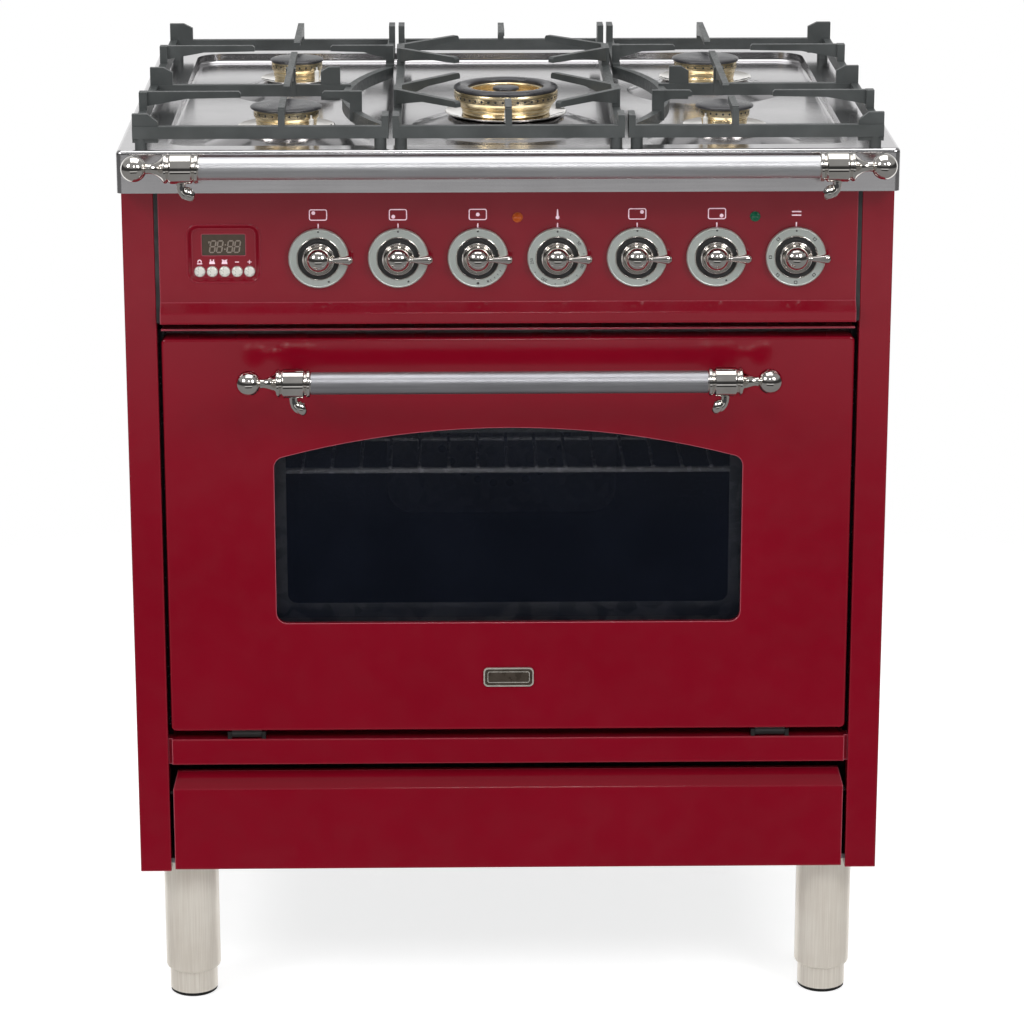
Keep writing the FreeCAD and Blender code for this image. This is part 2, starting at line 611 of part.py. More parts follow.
# --- towel rail and door handle ------------------------------------------------------------
def bracket(x_in, x_out, ball_x, y, z, wall_y):
    """Right-hand bracket: socket barrel, neck and ball, wall stem and a curved set lug."""
    profile = [(x_in, 0.0), (x_in, 12.6), (x_in + 1.2, 13.6), (x_in + 2.6, 13.6), (x_in + 3.6, 12.4),
               (x_in + 5.0, 12.4), (x_in + 6.2, BARREL_R), (x_out - 8.0, BARREL_R), (x_out - 6.6, 13.4),
               (x_out - 5.0, BARREL_R - 0.2), (x_out - 3.6, 13.2), (x_out + 0.5, 8.0), (x_out + 5.0, 5.2),
               (x_out + 10.0, 4.25), (ball_x - 14.0, 4.6), (ball_x - 11.0, 6.2), (ball_x, 6.2), (ball_x, 0.0)]
    barrel = turned(profile, vec(0, y, z), AX)
    ball = Part.makeSphere(BALL_R, vec(ball_x, y, z))
    middle = (x_in + x_out) / 2
    reach = wall_y - y
    stem = [(5.0, 0.0), (5.0, WALL_STEM_R), (reach - 12.0, WALL_STEM_R - 0.5),
            (reach - 5.0, WALL_STEM_R + 1.0), (reach - 3.5, WALL_FLANGE_R),
            (reach, WALL_FLANGE_R), (reach, 0.0)]
    arm = turned(stem, vec(middle, y, z - WALL_STEM_DROP), AY)
    curl_x = middle - 5.0
    curl_z = z - BARREL_R - 1.5
    hook = Part.makeTorus(CURL_R, CURL_WIRE, vec(curl_x, y, curl_z), AY).common(
        box(curl_x, curl_x + 2 * CURL_R, y - 4, y + 4, curl_z - 2 * CURL_R, curl_z + CURL_R - 2.0))
    lug = Part.makeSphere(LUG_R, vec(curl_x - 2.5, y, curl_z - CURL_R))
    socket = rod(vec(x_in - 1.0, y, z), AX, BAR_R, 11.0)
    return fuse([barrel, ball, arm, hook, lug]).cut(socket)


def bar_tube(x_end, y, z):
    return tube(vec(-x_end, y, z), AX, BAR_R, BAR_R - 1.5, 2 * x_end)


# --- gas train and controls ----------------------------------------------------------------
def gas_manifold():
    """Supply pipe across behind the fascia, an elbow, and the run to the rear inlet."""
    y = FRONT_Y + 68.0
    bend = 26.0
    r = 8.0
    run = rod(vec(knob_x(0) - 30, y, KNOB_Z), AX, r, INLET_X - bend - knob_x(0) + 30)
    quarter = Part.makeTorus(bend, r, vec(INLET_X - bend, y + bend, KNOB_Z), AZ)
    quarter = quarter.common(box(INLET_X - bend, INLET_X + r, y - r, y + bend, KNOB_Z - r, KNOB_Z + r))
    start = y + bend
    back = rod(vec(INLET_X, start, KNOB_Z), AY, r, BACK_Y - 12 - start)
    nut = rod(vec(INLET_X, BACK_Y - 14, KNOB_Z), AY, 11.5, 16.0)
    inlet = rod(vec(INLET_X, BACK_Y + 2, KNOB_Z), AY, INLET_R, 28.0)
    pipe = fuse([run, quarter, back, nut, inlet])
    bore = rod(vec(INLET_X, BACK_Y - 20, KNOB_Z), AY, 6.0, 60.0)
    return pipe.cut(bore)


def control_valve(x):
    """Tap body against the manifold, with the round stem that carries a knob."""
    y = FRONT_Y + 12.0
    body = box(x - 13, x + 13, y, FRONT_Y + 60, KNOB_Z - 18, KNOB_Z + 16)
    neck = rod(vec(x, FRONT_Y + 2.5, KNOB_Z), AY, 8.0, 11.0)
    stem = rod(vec(x, FRONT_Y - 14.0, KNOB_Z), AY, STEM_R, 27.0)
    return fuse([body, neck, stem])


def knob(index):
    """Dial skirt, stepped collar, domed boss and a teardrop lever pointing to +X."""
    centre = vec(knob_x(index), FRONT_Y, KNOB_Z)
    profile = [(-0.6, 0.0), (-0.6, DIAL_R - 1.0), (-1.6, DIAL_R), (-4.4, DIAL_R - 0.6),
               (-5.2, DIAL_R - 2.0), (-5.6, 20.5), (-4.6, 20.3), (-4.6, 19.4), (-8.0, 18.6), (-8.4, 15.8),
               (-13.0, 15.2), (-18.0, 12.6), (-21.4, 8.6), (-23.0, 4.0), (-23.4, 0.0)]
    body = turned(profile, centre, AY)
    lever = [(8.0, 0.0), (8.0, 3.6), (17.0, 3.0), (23.0, 3.4), (28.0, 4.8),
             (31.5, 4.6), (33.4, 3.2), (34.0, 0.0)]
    arm = turned(lever, centre + vec(0, -13.5, 0), AX)
    bore = rod(centre + vec(0, -14.5, 0), AY, STEM_R + RUNNING, 15.0)
    return fuse([body, arm]).cut(bore)


# --- oven ----------------------------------------------------------------------------------
def oven_cavity():
    """Enamelled liner with a front frame, plus the fan shaft's boss on its back wall."""
    t = SHEET
    outer = box(-CAVITY_X - t, CAVITY_X + t, FRAME_Y, CAVITY_Y1 + t, CAVITY_Z0 - t, CAVITY_Z1 + t)
    outer = outer.makeFillet(18.0 + t, parallel_edges(outer, AY))
    frame = box(-SKIN_X, SKIN_X, FRAME_Y, FRAME_Y + t, 296.0, 716.0)
    room = round_box(-CAVITY_X, CAVITY_X, FRAME_Y - 1, CAVITY_Y1, CAVITY_Z0, CAVITY_Z1, AY, 18.0)
    boss = rod(vec(0, CAVITY_Y1, FAN_Z), AY, 12.0, 24.0)
    shaft = rod(vec(0, CAVITY_Y1 - 1, FAN_Z), AY, 4.0 + RUNNING, 22.0)
    return fuse([outer, frame, boss]).cut(room).cut(shaft)


def oven_gasket():
    y0 = FRAME_Y - 5.4
    x_out, x_in = CAVITY_X + 16, CAVITY_X + 7
    outer = round_box(-x_out, x_out, y0, FRAME_Y, CAVITY_Z0 - 14, CAVITY_Z1 + 14, AY, 26.0)
    inner = round_box(-x_in, x_in, y0 - 1, FRAME_Y + 1, CAVITY_Z0 - 5, CAVITY_Z1 + 5, AY, 19.0)
    return outer.cut(inner)


def side_rack():
    """Right-hand wire ladder that carries the shelf at four heights."""
    x = CAVITY_X - 8.5
    r = 2.5
    y0 = FRONT_Y + 64.0
    y1 = FRONT_Y + 474.0
    wires = []
    for level in range(4):
        z = SHELF_Z - 5.8 - 76.0 * (2 - level)
        for lift in (0.0, 20.0):
            wires.append(rod(vec(x, y0, z + lift), AY, r, y1 - y0))
    for y in (y0 + 20, (y0 + y1) / 2, y1 - 20):
        wires.append(rod(vec(x + 2 * r + 0.5, y, 380.0), AZ, r, 270.0))
    for y in (y0 + 20, y1 - 20):
        for z in (386.0, 640.0):
            wires.append(rod(vec(x + 2 * r, y, z), AX, 4.0, CAVITY_X - x - 2 * r))
    for level in range(4):
        for lift in (0.0, 20.0):
            z = SHELF_Z - 5.8 - 76.0 * (2 - level) + lift
            for y in (y0 + 20, (y0 + y1) / 2, y1 - 20):
                wires.append(rod(vec(x, y, z), AX, 1.6, 2 * r + 0.5))
    return fuse(wires)


def oven_shelf():
    """Wire shelf: perimeter frame, cross braces and bars whose front ends turn up."""
    frame_r = 3.0
    bar_r = 1.8
    y0, y1 = SHELF_Y0 + frame_r, SHELF_Y1 - frame_r
    x = SHELF_X
    wires = [rod(vec(-x, y, SHELF_Z), AX, frame_r, 2 * x) for y in (y0, y1)]
    wires += [rod(vec(side * x, y0, SHELF_Z), AY, frame_r, y1 - y0) for side in (-1, 1)]
    wires += [Part.makeSphere(frame_r, vec(side * x, y, SHELF_Z)) for side in (-1, 1) for y in (y0, y1)]
    wires += [rod(vec(2 - x, y, SHELF_Z - 2.0), AX, 2.2, 2 * x - 4) for y in (y0 + 130, y1 - 130)]
    for i in range(-8, 9):
        px = SHELF_PITCH * i
        wires.append(rod(vec(px, y0, SHELF_Z + 1.6), AY, bar_r, y1 - y0))
        wires.append(Part.makeSphere(2.6, vec(px, y0, SHELF_Z + 2.4)))
    return fuse(wires)


def grill_element():
    """Looped heating tube under the oven roof with its two ends through the back wall."""
    z = CAVITY_Z1 - 26.0
    r = 3.4
    y0, y1 = FRONT_Y + 110.0, FRONT_Y + 400.0
    xs = [-180.0, -108.0, -36.0, 36.0, 108.0, 180.0]
    parts = [rod(vec(x, y0, z), AY, r, (CAVITY_Y1 if x in (xs[0], xs[-1]) else y1) - y0) for x in xs]
    for i in range(5):
        y = y0 if i % 2 == 0 else y1
        parts.append(rod(vec(xs[i], y, z), AX, r, xs[i + 1] - xs[i]))
        parts += [Part.makeSphere(r, vec(xs[i + side], y, z)) for side in (0, 1)]
    for x in (-72.0, 72.0):
        parts.append(box(x - 4, x + 4, y0 + 100, y0 + 112, z - r, CAVITY_Z1))
        parts.append(box(x - 40, x + 40, y0 + 100, y0 + 112, z - r - 2, z - r + 0.5))
    return fuse(parts)


def fan_cover():
    """Pressed cover over the fan, vented by rings of round holes."""
    y0 = FRONT_Y + 469.0
    outer = round_box(-130, 130, y0, CAVITY_Y1, FAN_Z - 110, FAN_Z + 110, AY, 30.0)
    inner = round_box(-128.5, 128.5, y0 + SHEET, CAVITY_Y1 + 1, FAN_Z - 108.5, FAN_Z + 108.5, AY, 28.5)
    holes = [rod(vec(0, y0 - 1, FAN_Z), AY, 5.0, 5.0)]
    for ring, count in ((22.0, 8), (40.0, 14), (58.0, 20), (76.0, 26)):
        for i in range(count):
            angle = 2 * math.pi * i / count
            middle = vec(ring * math.cos(angle), y0 - 1, FAN_Z + ring * math.sin(angle))
            holes.append(rod(middle, AY, 4.5, 5.0))
    return outer.cut(inner).cut(Part.makeCompound(holes))


def oven_fan():
    """Radial fan wheel with eight blades on a shaft through the cavity's back wall."""
    y = CAVITY_Y1
    hub = rod(vec(0, y - 20.0, FAN_Z), AY, 14.0, 16.0)
    plate = rod(vec(0, y - 6.0, FAN_Z), AY, 70.0, 1.5)
    shaft = rod(vec(0, y - 5.0, FAN_Z), AY, 4.0, 25.0)
    parts = [hub, plate, shaft]
    for i in range(8):
        blade = box(30.0, 68.0, y - 22.0, y - 5.5, FAN_Z - 0.8, FAN_Z + 0.8)
        blade.rotate(vec(49.0, y, FAN_Z), AY, 24.0)
        blade.rotate(vec(0, y, FAN_Z), AY, 45.0 * i)
        parts.append(blade)
    return fuse(parts)


def oven_lamp():
    """Round glass lamp cover with a metal collar on the back wall."""
    profile = [(0.0, 0.0), (0.0, 26.0), (-4.0, 26.0), (-6.0, 22.0),
               (-12.0, 19.0), (-16.0, 12.0), (-17.5, 0.0)]
    return turned(profile, vec(-205.0, CAVITY_Y1, 640.0), AY)


# --- door ----------------------------------------------------------------------------------
def arched(half_w, z0, side_z, crown_z, y0, depth, corner):
    """Window outline with a bowed top edge, as a solid of the given depth."""
    left, top, right = vec(-half_w, y0, side_z), vec(0, y0, crown_z), vec(half_w, y0, side_z)
    low_left, low_right = vec(-half_w, y0, z0), vec(half_w, y0, z0)
    edges = [Part.Arc(left, top, right).toShape(), Part.makeLine(right, low_right),
             Part.makeLine(low_right, low_left), Part.makeLine(low_left, left)]
    solid = Part.Face(Part.Wire(edges)).extrude(vec(0, depth, 0))
    return solid.makeFillet(corner, parallel_edges(solid, AY))


def window(grow, y0, depth):
    return arched(WINDOW_X + grow, WINDOW_Z0 - grow, WINDOW_SIDE_Z + grow, WINDOW_CROWN_Z + grow,
                  y0, depth, 11.0 + grow)


def door_panel():
    """Outer door skin: a shallow pan with rounded edges and an arched window opening."""
    y = FRONT_Y
    outer = round_box(-PANEL_X, PANEL_X, y, y + DOOR_RETURN, DOOR_Z0, DOOR_Z1, AY, 5.0)
    outer = outer.makeFillet(2.5, front_edges(outer, y))
    inner = round_box(-PANEL_X + SHEET, PANEL_X - SHEET, y + SHEET, y + DOOR_RETURN + 1,
                      DOOR_Z0 + SHEET, DOOR_Z1 - SHEET, AY, 3.5)
    pan = outer.cut(inner).cut(window(0.0, y - 1, 5.0))
    reveal = window(2.0, y + SHEET, 4.0).cut(window(0.0, y, 8.0))
    slots = [box(side * HINGE_X - HINGE_W / 2 - 1, side * HINGE_X + HINGE_W / 2 + 1, y + SHEET, y + 9,
                 DOOR_Z0 - 2, DOOR_Z0 + 3) for side in (-1, 1)]
    return fuse([pan, reveal]).cut(Part.makeCompound(slots))


def door_glass():
    y = FRONT_Y + SHEET + 4.0
    return window(22.0, y, 4.0)


def door_liner():
    """Inner door pan that closes the back, with the opening for the inner pane."""
    y0 = FRONT_Y + DOOR_RETURN
    y1 = FRONT_Y + DOOR_D
    outer = round_box(-PANEL_X, PANEL_X, y0, y1, DOOR_Z0, DOOR_Z1, AY, 5.0)
    inner = round_box(-PANEL_X + SHEET, PANEL_X - SHEET, y0 - 1, y1 - SHEET,
                      DOOR_Z0 + SHEET, DOOR_Z1 - SHEET, AY, 3.5)
    return outer.cut(inner).cut(round_box(-225, 225, y1 - 5, y1 + 1, 430.0, 610.0, AY, 10.0))


def door_inner_glass():
    y1 = FRONT_Y + DOOR_D - SHEET
    return round_box(-240, 240, y1 - 4.0, y1, 416.0, 626.0, AY, 6.0)


def door_hinge_arm():
    """Right-hand hinge arm: knuckle below the door and a strap up inside it."""
    x0 = HINGE_X - HINGE_W / 2
    knuckle = rod(vec(x0, HINGE_Y, HINGE_Z), AX, 3.5, HINGE_W)
    neck = box(x0, x0 + HINGE_W, FRONT_Y + SHEET, HINGE_Y + 2.0, HINGE_Z, 330.0)
    strap = box(x0, x0 + HINGE_W, FRONT_Y + SHEET, FRONT_Y + DOOR_RETURN - 4, 312.0, 390.0)
    bore = rod(vec(x0 - 1, HINGE_Y, HINGE_Z), AX, HINGE_PIN_R + RUNNING, HINGE_W + 2)
    return fuse([knuckle, neck, strap]).cut(bore)


def door_hinge_mount():
    """Right-hand fixed fork with the pivot pin, bolted to the oven's front frame."""
    gap = 0.4
    ear = 4.0
    half = HINGE_W / 2 + gap
    z0, z1 = RAIL_Z1, HINGE_Z + 3.0
    block = box(HINGE_X - half - ear, HINGE_X + half + ear, FRONT_Y + 10, FRAME_Y, z0, z1)
    ears = [box(HINGE_X + side * (half + ear / 2) - ear / 2, HINGE_X + side * (half + ear / 2) + ear / 2,
                HINGE_Y - 2.8, FRONT_Y + 12, z0, z1) for side in (-1, 1)]
    pin = rod(vec(HINGE_X - half - ear, HINGE_Y, HINGE_Z), AX, HINGE_PIN_R, 2 * (half + ear))
    return fuse([block] + ears + [pin])


def door_badge():
    """Plain rounded name plate with a raised rim and no marking."""
    y = FRONT_Y
    plate = round_box(-25.5, 25.5, y - 1.8, y, BADGE_Z - 10, BADGE_Z + 10, AY, 4.5)
    pocket = round_box(-24.1, 24.1, y - 2.0, y - 1.1, BADGE_Z - 8.6, BADGE_Z + 8.6, AY, 3.4)
    return plate.cut(pocket)


# --- drawer --------------------------------------------------------------------------------
def drawer_front():
    """Hollow front whose top edge slopes back as the finger pull, with mitred ends."""
    y = FRONT_Y
    t = SHEET
    y1 = y + 20.0
    outer = [(y, DRAWER_Z0), (y, DRAWER_FACE_Z), (y + DRAWER_SLOPE, DRAWER_Z1),
             (y1, DRAWER_Z1), (y1, DRAWER_Z0)]
    inner = [(y + t, DRAWER_Z0 + t), (y + t, DRAWER_FACE_Z - 0.6), (y + DRAWER_SLOPE + 0.6, DRAWER_Z1 - t),
             (y1 + 1, DRAWER_Z1 - t), (y1 + 1, DRAWER_Z0 + t)]
    shell = prism(outer, "x", -PANEL_X, PANEL_W)
    edges = parallel_edges(shell, AX, lambda e: e.BoundBox.YMax < y + 0.01)
    shell = shell.makeFillet(1.2, edges)
    slant = [(PANEL_X, DRAWER_FACE_Z), (PANEL_X + 1, DRAWER_FACE_Z), (PANEL_X + 1, DRAWER_Z1 + 1),
             (PANEL_X - 4.5, DRAWER_Z1 + 1)]
    mitre = prism(slant, "y", y - 1, 22.0)
    room = prism(inner, "x", -PANEL_X + 5.0, PANEL_W - 10.0)
    return shell.cut(room).cut(mitre).cut(mirrored(mitre))


def drawer_box():
    """Open steel tray behind the front, with a slide rail fixed to each side."""
    t = SHEET
    y0 = FRONT_Y + 20.0
    outer = box(-BOX_X, BOX_X, y0, y0 + BOX_D, BOX_Z0, BOX_Z1)
    room = box(-BOX_X + t, BOX_X - t, y0 + t, y0 + BOX_D - t, BOX_Z0 + t, BOX_Z1 + 1)
    tray = outer.cut(room)
    slide = box(BOX_X, BOX_X + 8.0, y0, y0 + BOX_D, 206.0, 214.0)
    tie = box(-PANEL_X + 5.0, PANEL_X - 5.0, y0, y0 + t, DRAWER_Z0, DRAWER_Z1 - t)
    return fuse([tray, slide, mirrored(slide), tie])


def drawer_runner():
    """Right-hand C channel on a bracket, holding the drawer's slide rail."""
    gap = 0.3
    x0 = BOX_X + 1.2
    x1 = BOX_X + 8.0 + gap + 2.0
    y0 = FRONT_Y + 26.0
    y1 = y0 + BOX_D - 6.0
    channel = box(x0, x1, y0, y1, 202.0, 218.0)
    room = box(x0 - 1, BOX_X + 8.0 + gap, y0 - 1, y1 + 1, 206.0 - gap, 214.0 + gap)
    bracket_plate = box(x1, SKIN_X, y0 + 60, y1, 204.0, 208.0)
    web = box(x1, x1 + 2.0, y0 + 60, y1, BODY_Z0 + SHEET, 204.0)
    return fuse([channel.cut(room), bracket_plate, web])


# --- legs ----------------------------------------------------------------------------------
def leg_tube(x, y):
    """Tubular leg with a rolled lower edge and a bore for the adjustable foot."""
    bore = FOOT_R + RUNNING
    profile = [(LEG_Z0, bore), (LEG_Z0, LEG_R - 2.5), (LEG_Z0 + 1.0, LEG_R - 0.9), (LEG_Z0 + 3.0, LEG_R),
               (BODY_Z0 - 2.0, LEG_R), (BODY_Z0, LEG_R), (BODY_Z0, 8.0), (BODY_Z0 - 3.0, 8.0),
               (BODY_Z0 - 3.0, LEG_R - 1.5), (100.0, LEG_R - 1.5), (100.0, bore)]
    return turned(profile, vec(x, y, 0), AZ)


def foot(x, y):
    """Adjustable foot: black glide, stub and the upper sleeve that runs inside the leg."""
    profile = [(0.0, 0.0), (0.0, FOOT_R - 2.0), (1.2, FOOT_R - 0.4), (GLIDE_H, FOOT_R - 0.4),
               (GLIDE_H, FOOT_R),
               (LEG_Z0 + FOOT_UP, FOOT_R), (LEG_Z0 + FOOT_UP, 0.0)]
    return turned(profile, vec(x, y, 0), AZ)


# --- write every sub-part ------------------------------------------------------------------
def main():
    left = side_panel()
    save("side_panel_left", left)
    save("side_panel_right", mirrored(left))
    save("back_panel", back_panel())
    save("base_frame", base_frame())
    save("lower_rail", lower_rail())
    save("control_panel", control_panel())
    save("vent_trim", vent_trim())
    save("worktop", worktop())
    save("timer_bezel", timer_bezel())
    save("timer_display", timer_display())
    save("indicator_lamps", Part.makeCompound([indicator_lamp(x) for x in LAMP_X]))

    cups, plugs, rings, caps = [], [], [], []
    for x, depth, cap, ring, skirt in BURNERS.values():
        plugs.append(igniter(x, depth, ring / 2, IGNITER_TURN))
        cups.append(burner_cup(x, depth, skirt / 2).cut(plugs[-1]))
        rings.append(flame_ring(x, depth, ring / 2))
        caps.append(burner_cap(x, depth, cap / 2))
    plugs.append(igniter(0.0, WOK_D, WOK_RING_R, 0.0))
    cups.append(burner_cup(0.0, WOK_D, WOK_SKIRT_R).cut(plugs[-1]))
    save("burner_cups", Part.makeCompound(cups))
    save("igniters", Part.makeCompound(plugs))
    save("flame_rings", Part.makeCompound(rings))
    save("wok_flame_ring", wok_flame_ring())
    save("burner_caps", Part.makeCompound(caps + wok_caps()))

    right = side_grate()
    save("grate_right", right)
    save("grate_left", mirrored(right))
    save("grate_centre", centre_grate())

    rail_y = EDGE_Y - RAIL_STANDOFF
    rail_z = TOP_Z - 9.0
    save("rail_tube", bar_tube(308.0, rail_y, rail_z))
    save("rail_posts", pair(bracket(299.0, 334.0, 361.0, rail_y, rail_z, EDGE_Y)))
    handle_y = FRONT_Y - HANDLE_STANDOFF
    save("door_handle_bar", bar_tube(204.0, handle_y, HANDLE_Z))
    save("door_handle_posts", pair(bracket(195.0, 229.0, 255.5, handle_y, HANDLE_Z, FRONT_Y)))

    save("gas_manifold", gas_manifold())
    valves = [control_valve(knob_x(i)) for i in range(len(KNOB_NAMES))]
    save("control_valves", Part.makeCompound(valves))
    for i, name in enumerate(KNOB_NAMES):
        save("knob_" + name, knob(i))
    for i, name in enumerate(BUTTON_NAMES):
        save("button_" + name, timer_button(i))

    save("oven_cavity", oven_cavity())
    save("oven_gasket", oven_gasket())
    save("side_racks", pair(side_rack()))
    save("oven_shelf", oven_shelf())
    save("grill_element", grill_element())
    save("fan_cover", fan_cover())
    save("oven_fan", oven_fan())
    save("oven_lamp", oven_lamp())

    save("door_panel", door_panel())
    save("door_glass", door_glass())
    save("door_liner", door_liner())
    save("door_inner_glass", door_inner_glass())
    save("door_hinge_arms", pair(door_hinge_arm()))
    save("door_hinge_mounts", pair(door_hinge_mount()))
    save("door_badge", door_badge())

    save("drawer_front", drawer_front())
    save("drawer_box", drawer_box())
    save("drawer_runners", pair(drawer_runner()))

    corners = [(side * LEG_X, y) for side in (-1, 1) for y in LEG_Y]
    save("leg_tubes", Part.makeCompound([leg_tube(x, y) for x, y in corners]))
    for (x, y), name in zip(corners, ("front_left", "rear_left", "front_right", "rear_right")):
        save("foot_" + name, foot(x, y))


main()
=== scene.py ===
import json
import math

import bmesh
import bpy
from mathutils import Matrix, Vector


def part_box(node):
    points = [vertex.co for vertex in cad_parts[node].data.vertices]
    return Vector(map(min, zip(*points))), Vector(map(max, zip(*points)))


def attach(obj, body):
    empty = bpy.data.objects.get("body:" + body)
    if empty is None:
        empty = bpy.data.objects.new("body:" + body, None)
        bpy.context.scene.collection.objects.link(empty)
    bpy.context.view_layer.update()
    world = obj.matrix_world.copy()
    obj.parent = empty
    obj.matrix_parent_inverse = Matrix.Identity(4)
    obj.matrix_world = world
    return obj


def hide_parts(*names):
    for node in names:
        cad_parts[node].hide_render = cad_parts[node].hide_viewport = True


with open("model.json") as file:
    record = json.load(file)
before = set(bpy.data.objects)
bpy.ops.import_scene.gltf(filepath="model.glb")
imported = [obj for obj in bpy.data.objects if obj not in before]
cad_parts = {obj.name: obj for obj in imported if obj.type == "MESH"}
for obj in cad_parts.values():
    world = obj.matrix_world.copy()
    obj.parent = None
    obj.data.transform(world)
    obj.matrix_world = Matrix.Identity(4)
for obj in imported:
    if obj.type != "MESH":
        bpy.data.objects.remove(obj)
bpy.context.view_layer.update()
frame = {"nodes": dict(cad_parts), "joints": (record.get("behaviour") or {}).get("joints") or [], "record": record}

# --- driving dimensions --------------------------------------------------------------------
# Freestanding gas range. Pieces are written in millimetres in the CAD frame and scaled to metres.
MM = 0.001
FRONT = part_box("door_panel")[0].y / MM       # face of the door and fascia
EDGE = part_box("worktop")[0].y / MM           # front edge of the worktop
MOUND = 2.0                                  # the burner mounds stand over the worktop border
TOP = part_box("worktop")[1].z / MM - MOUND
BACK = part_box("back_panel")[1].y / MM
SIDE_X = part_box("side_panel_right")[1].x / MM        # half the body's width
STILE_W = 31.5
GLAND_BOSS = 8.5                             # the cable gland stands out of the back sheet

BURNERS = {    # x, distance behind the worktop edge; radii of cap, brass ring and skirt
    "front_left": (-220.0, 105.0, 36.0, 32.5, 49.0),
    "rear_left": (-220.0, 390.0, 28.5, 27.0, 39.0),
    "rear_right": (217.0, 390.0, 36.0, 33.5, 49.5),
    "front_right": (217.0, 105.0, 29.0, 25.0, 42.5),
}
WOK_DEPTH = 185.0
WOK_SKIRT_R = 62.0

PINS = {joint["child"]: Vector(joint["pos_m"]) / MM for joint in frame["joints"] if "pos_m" in joint}
OUT = Vector((0, -1, 0))      # out of the front
RIGHT = Vector((1, 0, 0))
UP = Vector((0, 0, 1))


# --- materials -----------------------------------------------------------------------------
def connect(tree, socket, value):
    """Wires a node's output into a socket, or sets the socket's own value."""
    if isinstance(value, bpy.types.NodeSocket):
        tree.links.new(value, socket)
    elif socket.type == "RGBA" and len(value) == 3:
        socket.default_value = (*value, 1.0)
    else:
        socket.default_value = value


class Look:
    """A procedural material: one Principled shader and the textures that feed it."""

    def __init__(self, name, **values):
        self.material = bpy.data.materials.new(name)
        self.material.use_nodes = True
        self.tree = self.material.node_tree
        self.shader = self.tree.nodes["Principled BSDF"]
        self.coords = self.add("TexCoord").outputs["Object"]
        self.set(**values)

    def set(self, **values):
        for name, value in values.items():
            title = name.replace("_", " ").title().replace("Ior", "IOR")
            connect(self.tree, self.shader.inputs[title], value)
        return self

    def add(self, kind, options=None, **inputs):
        node = self.tree.nodes.new("ShaderNode" + kind)
        for name, value in (options or {}).items():
            setattr(node, name, value)
        for name, value in inputs.items():
            connect(self.tree, node.inputs[name], value)
        return node

    def noise(self, scale, detail=2.0, stretch=(1, 1, 1)):
        at = self.add("Mapping", Vector=self.coords, Scale=stretch).outputs[0]
        return self.add("TexNoise", Vector=at, Scale=scale, Detail=detail).outputs["Fac"]

    def rings(self, axis, scale, detail=3.0):
        """Noise that only changes with the distance from the object's own axis."""
        keep = [1.0, 1.0, 1.0]
        keep["XYZ".index(axis)] = 0.0
        flat = self.add("VectorMath", {"operation": "MULTIPLY"})
        connect(self.tree, flat.inputs[0], self.coords)
        connect(self.tree, flat.inputs[1], keep)
        reach = self.add("VectorMath", {"operation": "LENGTH"})
        connect(self.tree, reach.inputs[0], flat.outputs[0])
        noise = self.add("TexNoise", {"noise_dimensions": "1D"}, W=reach.outputs["Value"],
                         Scale=scale, Detail=detail)
        return noise.outputs["Fac"]

    def height(self):
        return self.add("SeparateXYZ", Vector=self.coords).outputs["Z"]

    def tint(self, factor, *stops):
        """Colour ramp through (position, colour) stops."""
        ramp = self.add("ValToRGB", Fac=factor)
        elements = ramp.color_ramp.elements
        while len(elements) < len(stops):
            elements.new(0.5)
        for element, (position, colour) in zip(elements, stops):
            element.position = position
            element.color = (*colour, 1.0)
        return ramp.outputs["Color"]

    def spread(self, factor, low, high, start=0.35, end=0.65):
        """Factor from start to end becomes a number from low to high."""
        wires = {"From Min": start, "From Max": end, "To Min": low, "To Max": high}
        return self.add("MapRange", Value=factor, **wires).outputs[0]

    def blend(self, factor, first, second):
        """Colour between two others."""
        mix = self.add("Mix", {"data_type": "RGBA"})
        for index, value in ((0, factor), (6, first), (7, second)):
            connect(self.tree, mix.inputs[index], value)
        return mix.outputs[2]

    def bump(self, *layers, under=None):
        """Stacks (height, depth in millimetres) textures over the normal under them."""
        normal = under
        for factor, depth in layers:
            node = self.add("Bump", Height=factor, Strength=1.0, Distance=depth * MM)
            if normal:
                connect(self.tree, node.inputs["Normal"], normal)
            normal = node.outputs[0]
        return self.set(normal=normal)


ENAMEL_EDGE_R = 1.8      # the enamel's shading rolls over every sharp edge with this radius; the painted edge highlight spans it too
# paler enamel colour painted along the edges as a highlight
EDGE_HIGHLIGHT_PAINT = (0.40, 0.095, 0.125)
LEG_METAL = 0.45         # the legs' satin finish scatters more light than bare metal
LEG_DARK, LEG_LIGHT = (0.70, 0.64, 0.56), (0.82, 0.77, 0.69)
LENGTHWISE, UPWARDS = (0.02, 1, 1), (1, 1, 0.02)      # noise squeezed into brushed lines
GLIDE_H = 0.0041         # height of a foot's rubber glide, in metres


def enamel_look():
    """Glossy enamel with a paler colour painted along its rounded edges as a highlight."""
    look = Look("burgundy_enamel", specular_ior_level=0.42)
    cloud = look.noise(9.0, 3.0)
    colour = look.tint(cloud, (0.30, (0.158, 0.0014, 0.0088)), (0.70, (0.168, 0.0018, 0.0100)))
    rounded_normal = look.add("Bevel", {"samples": 8}, Radius=ENAMEL_EDGE_R * MM).outputs[0]
    turn = look.add("VectorMath", {"operation": "DOT_PRODUCT"})
    connect(look.tree, turn.inputs[0], rounded_normal)
    connect(look.tree, turn.inputs[1], look.add("NewGeometry").outputs["Normal"])
    # mask of the painted edge highlight: where the rounded normal turns away from the true one
    painted_edge_highlight = look.spread(turn.outputs["Value"], 0.0, 0.8, 0.992, 0.93)
    look.set(base_color=look.blend(painted_edge_highlight, colour, EDGE_HIGHLIGHT_PAINT))
    look.set(roughness=look.spread(look.noise(40.0, 3.0), 0.10, 0.15))
    return look.bump((look.noise(150.0, 1.0), 0.004), (look.noise(1400.0), 0.0008), under=rounded_normal)


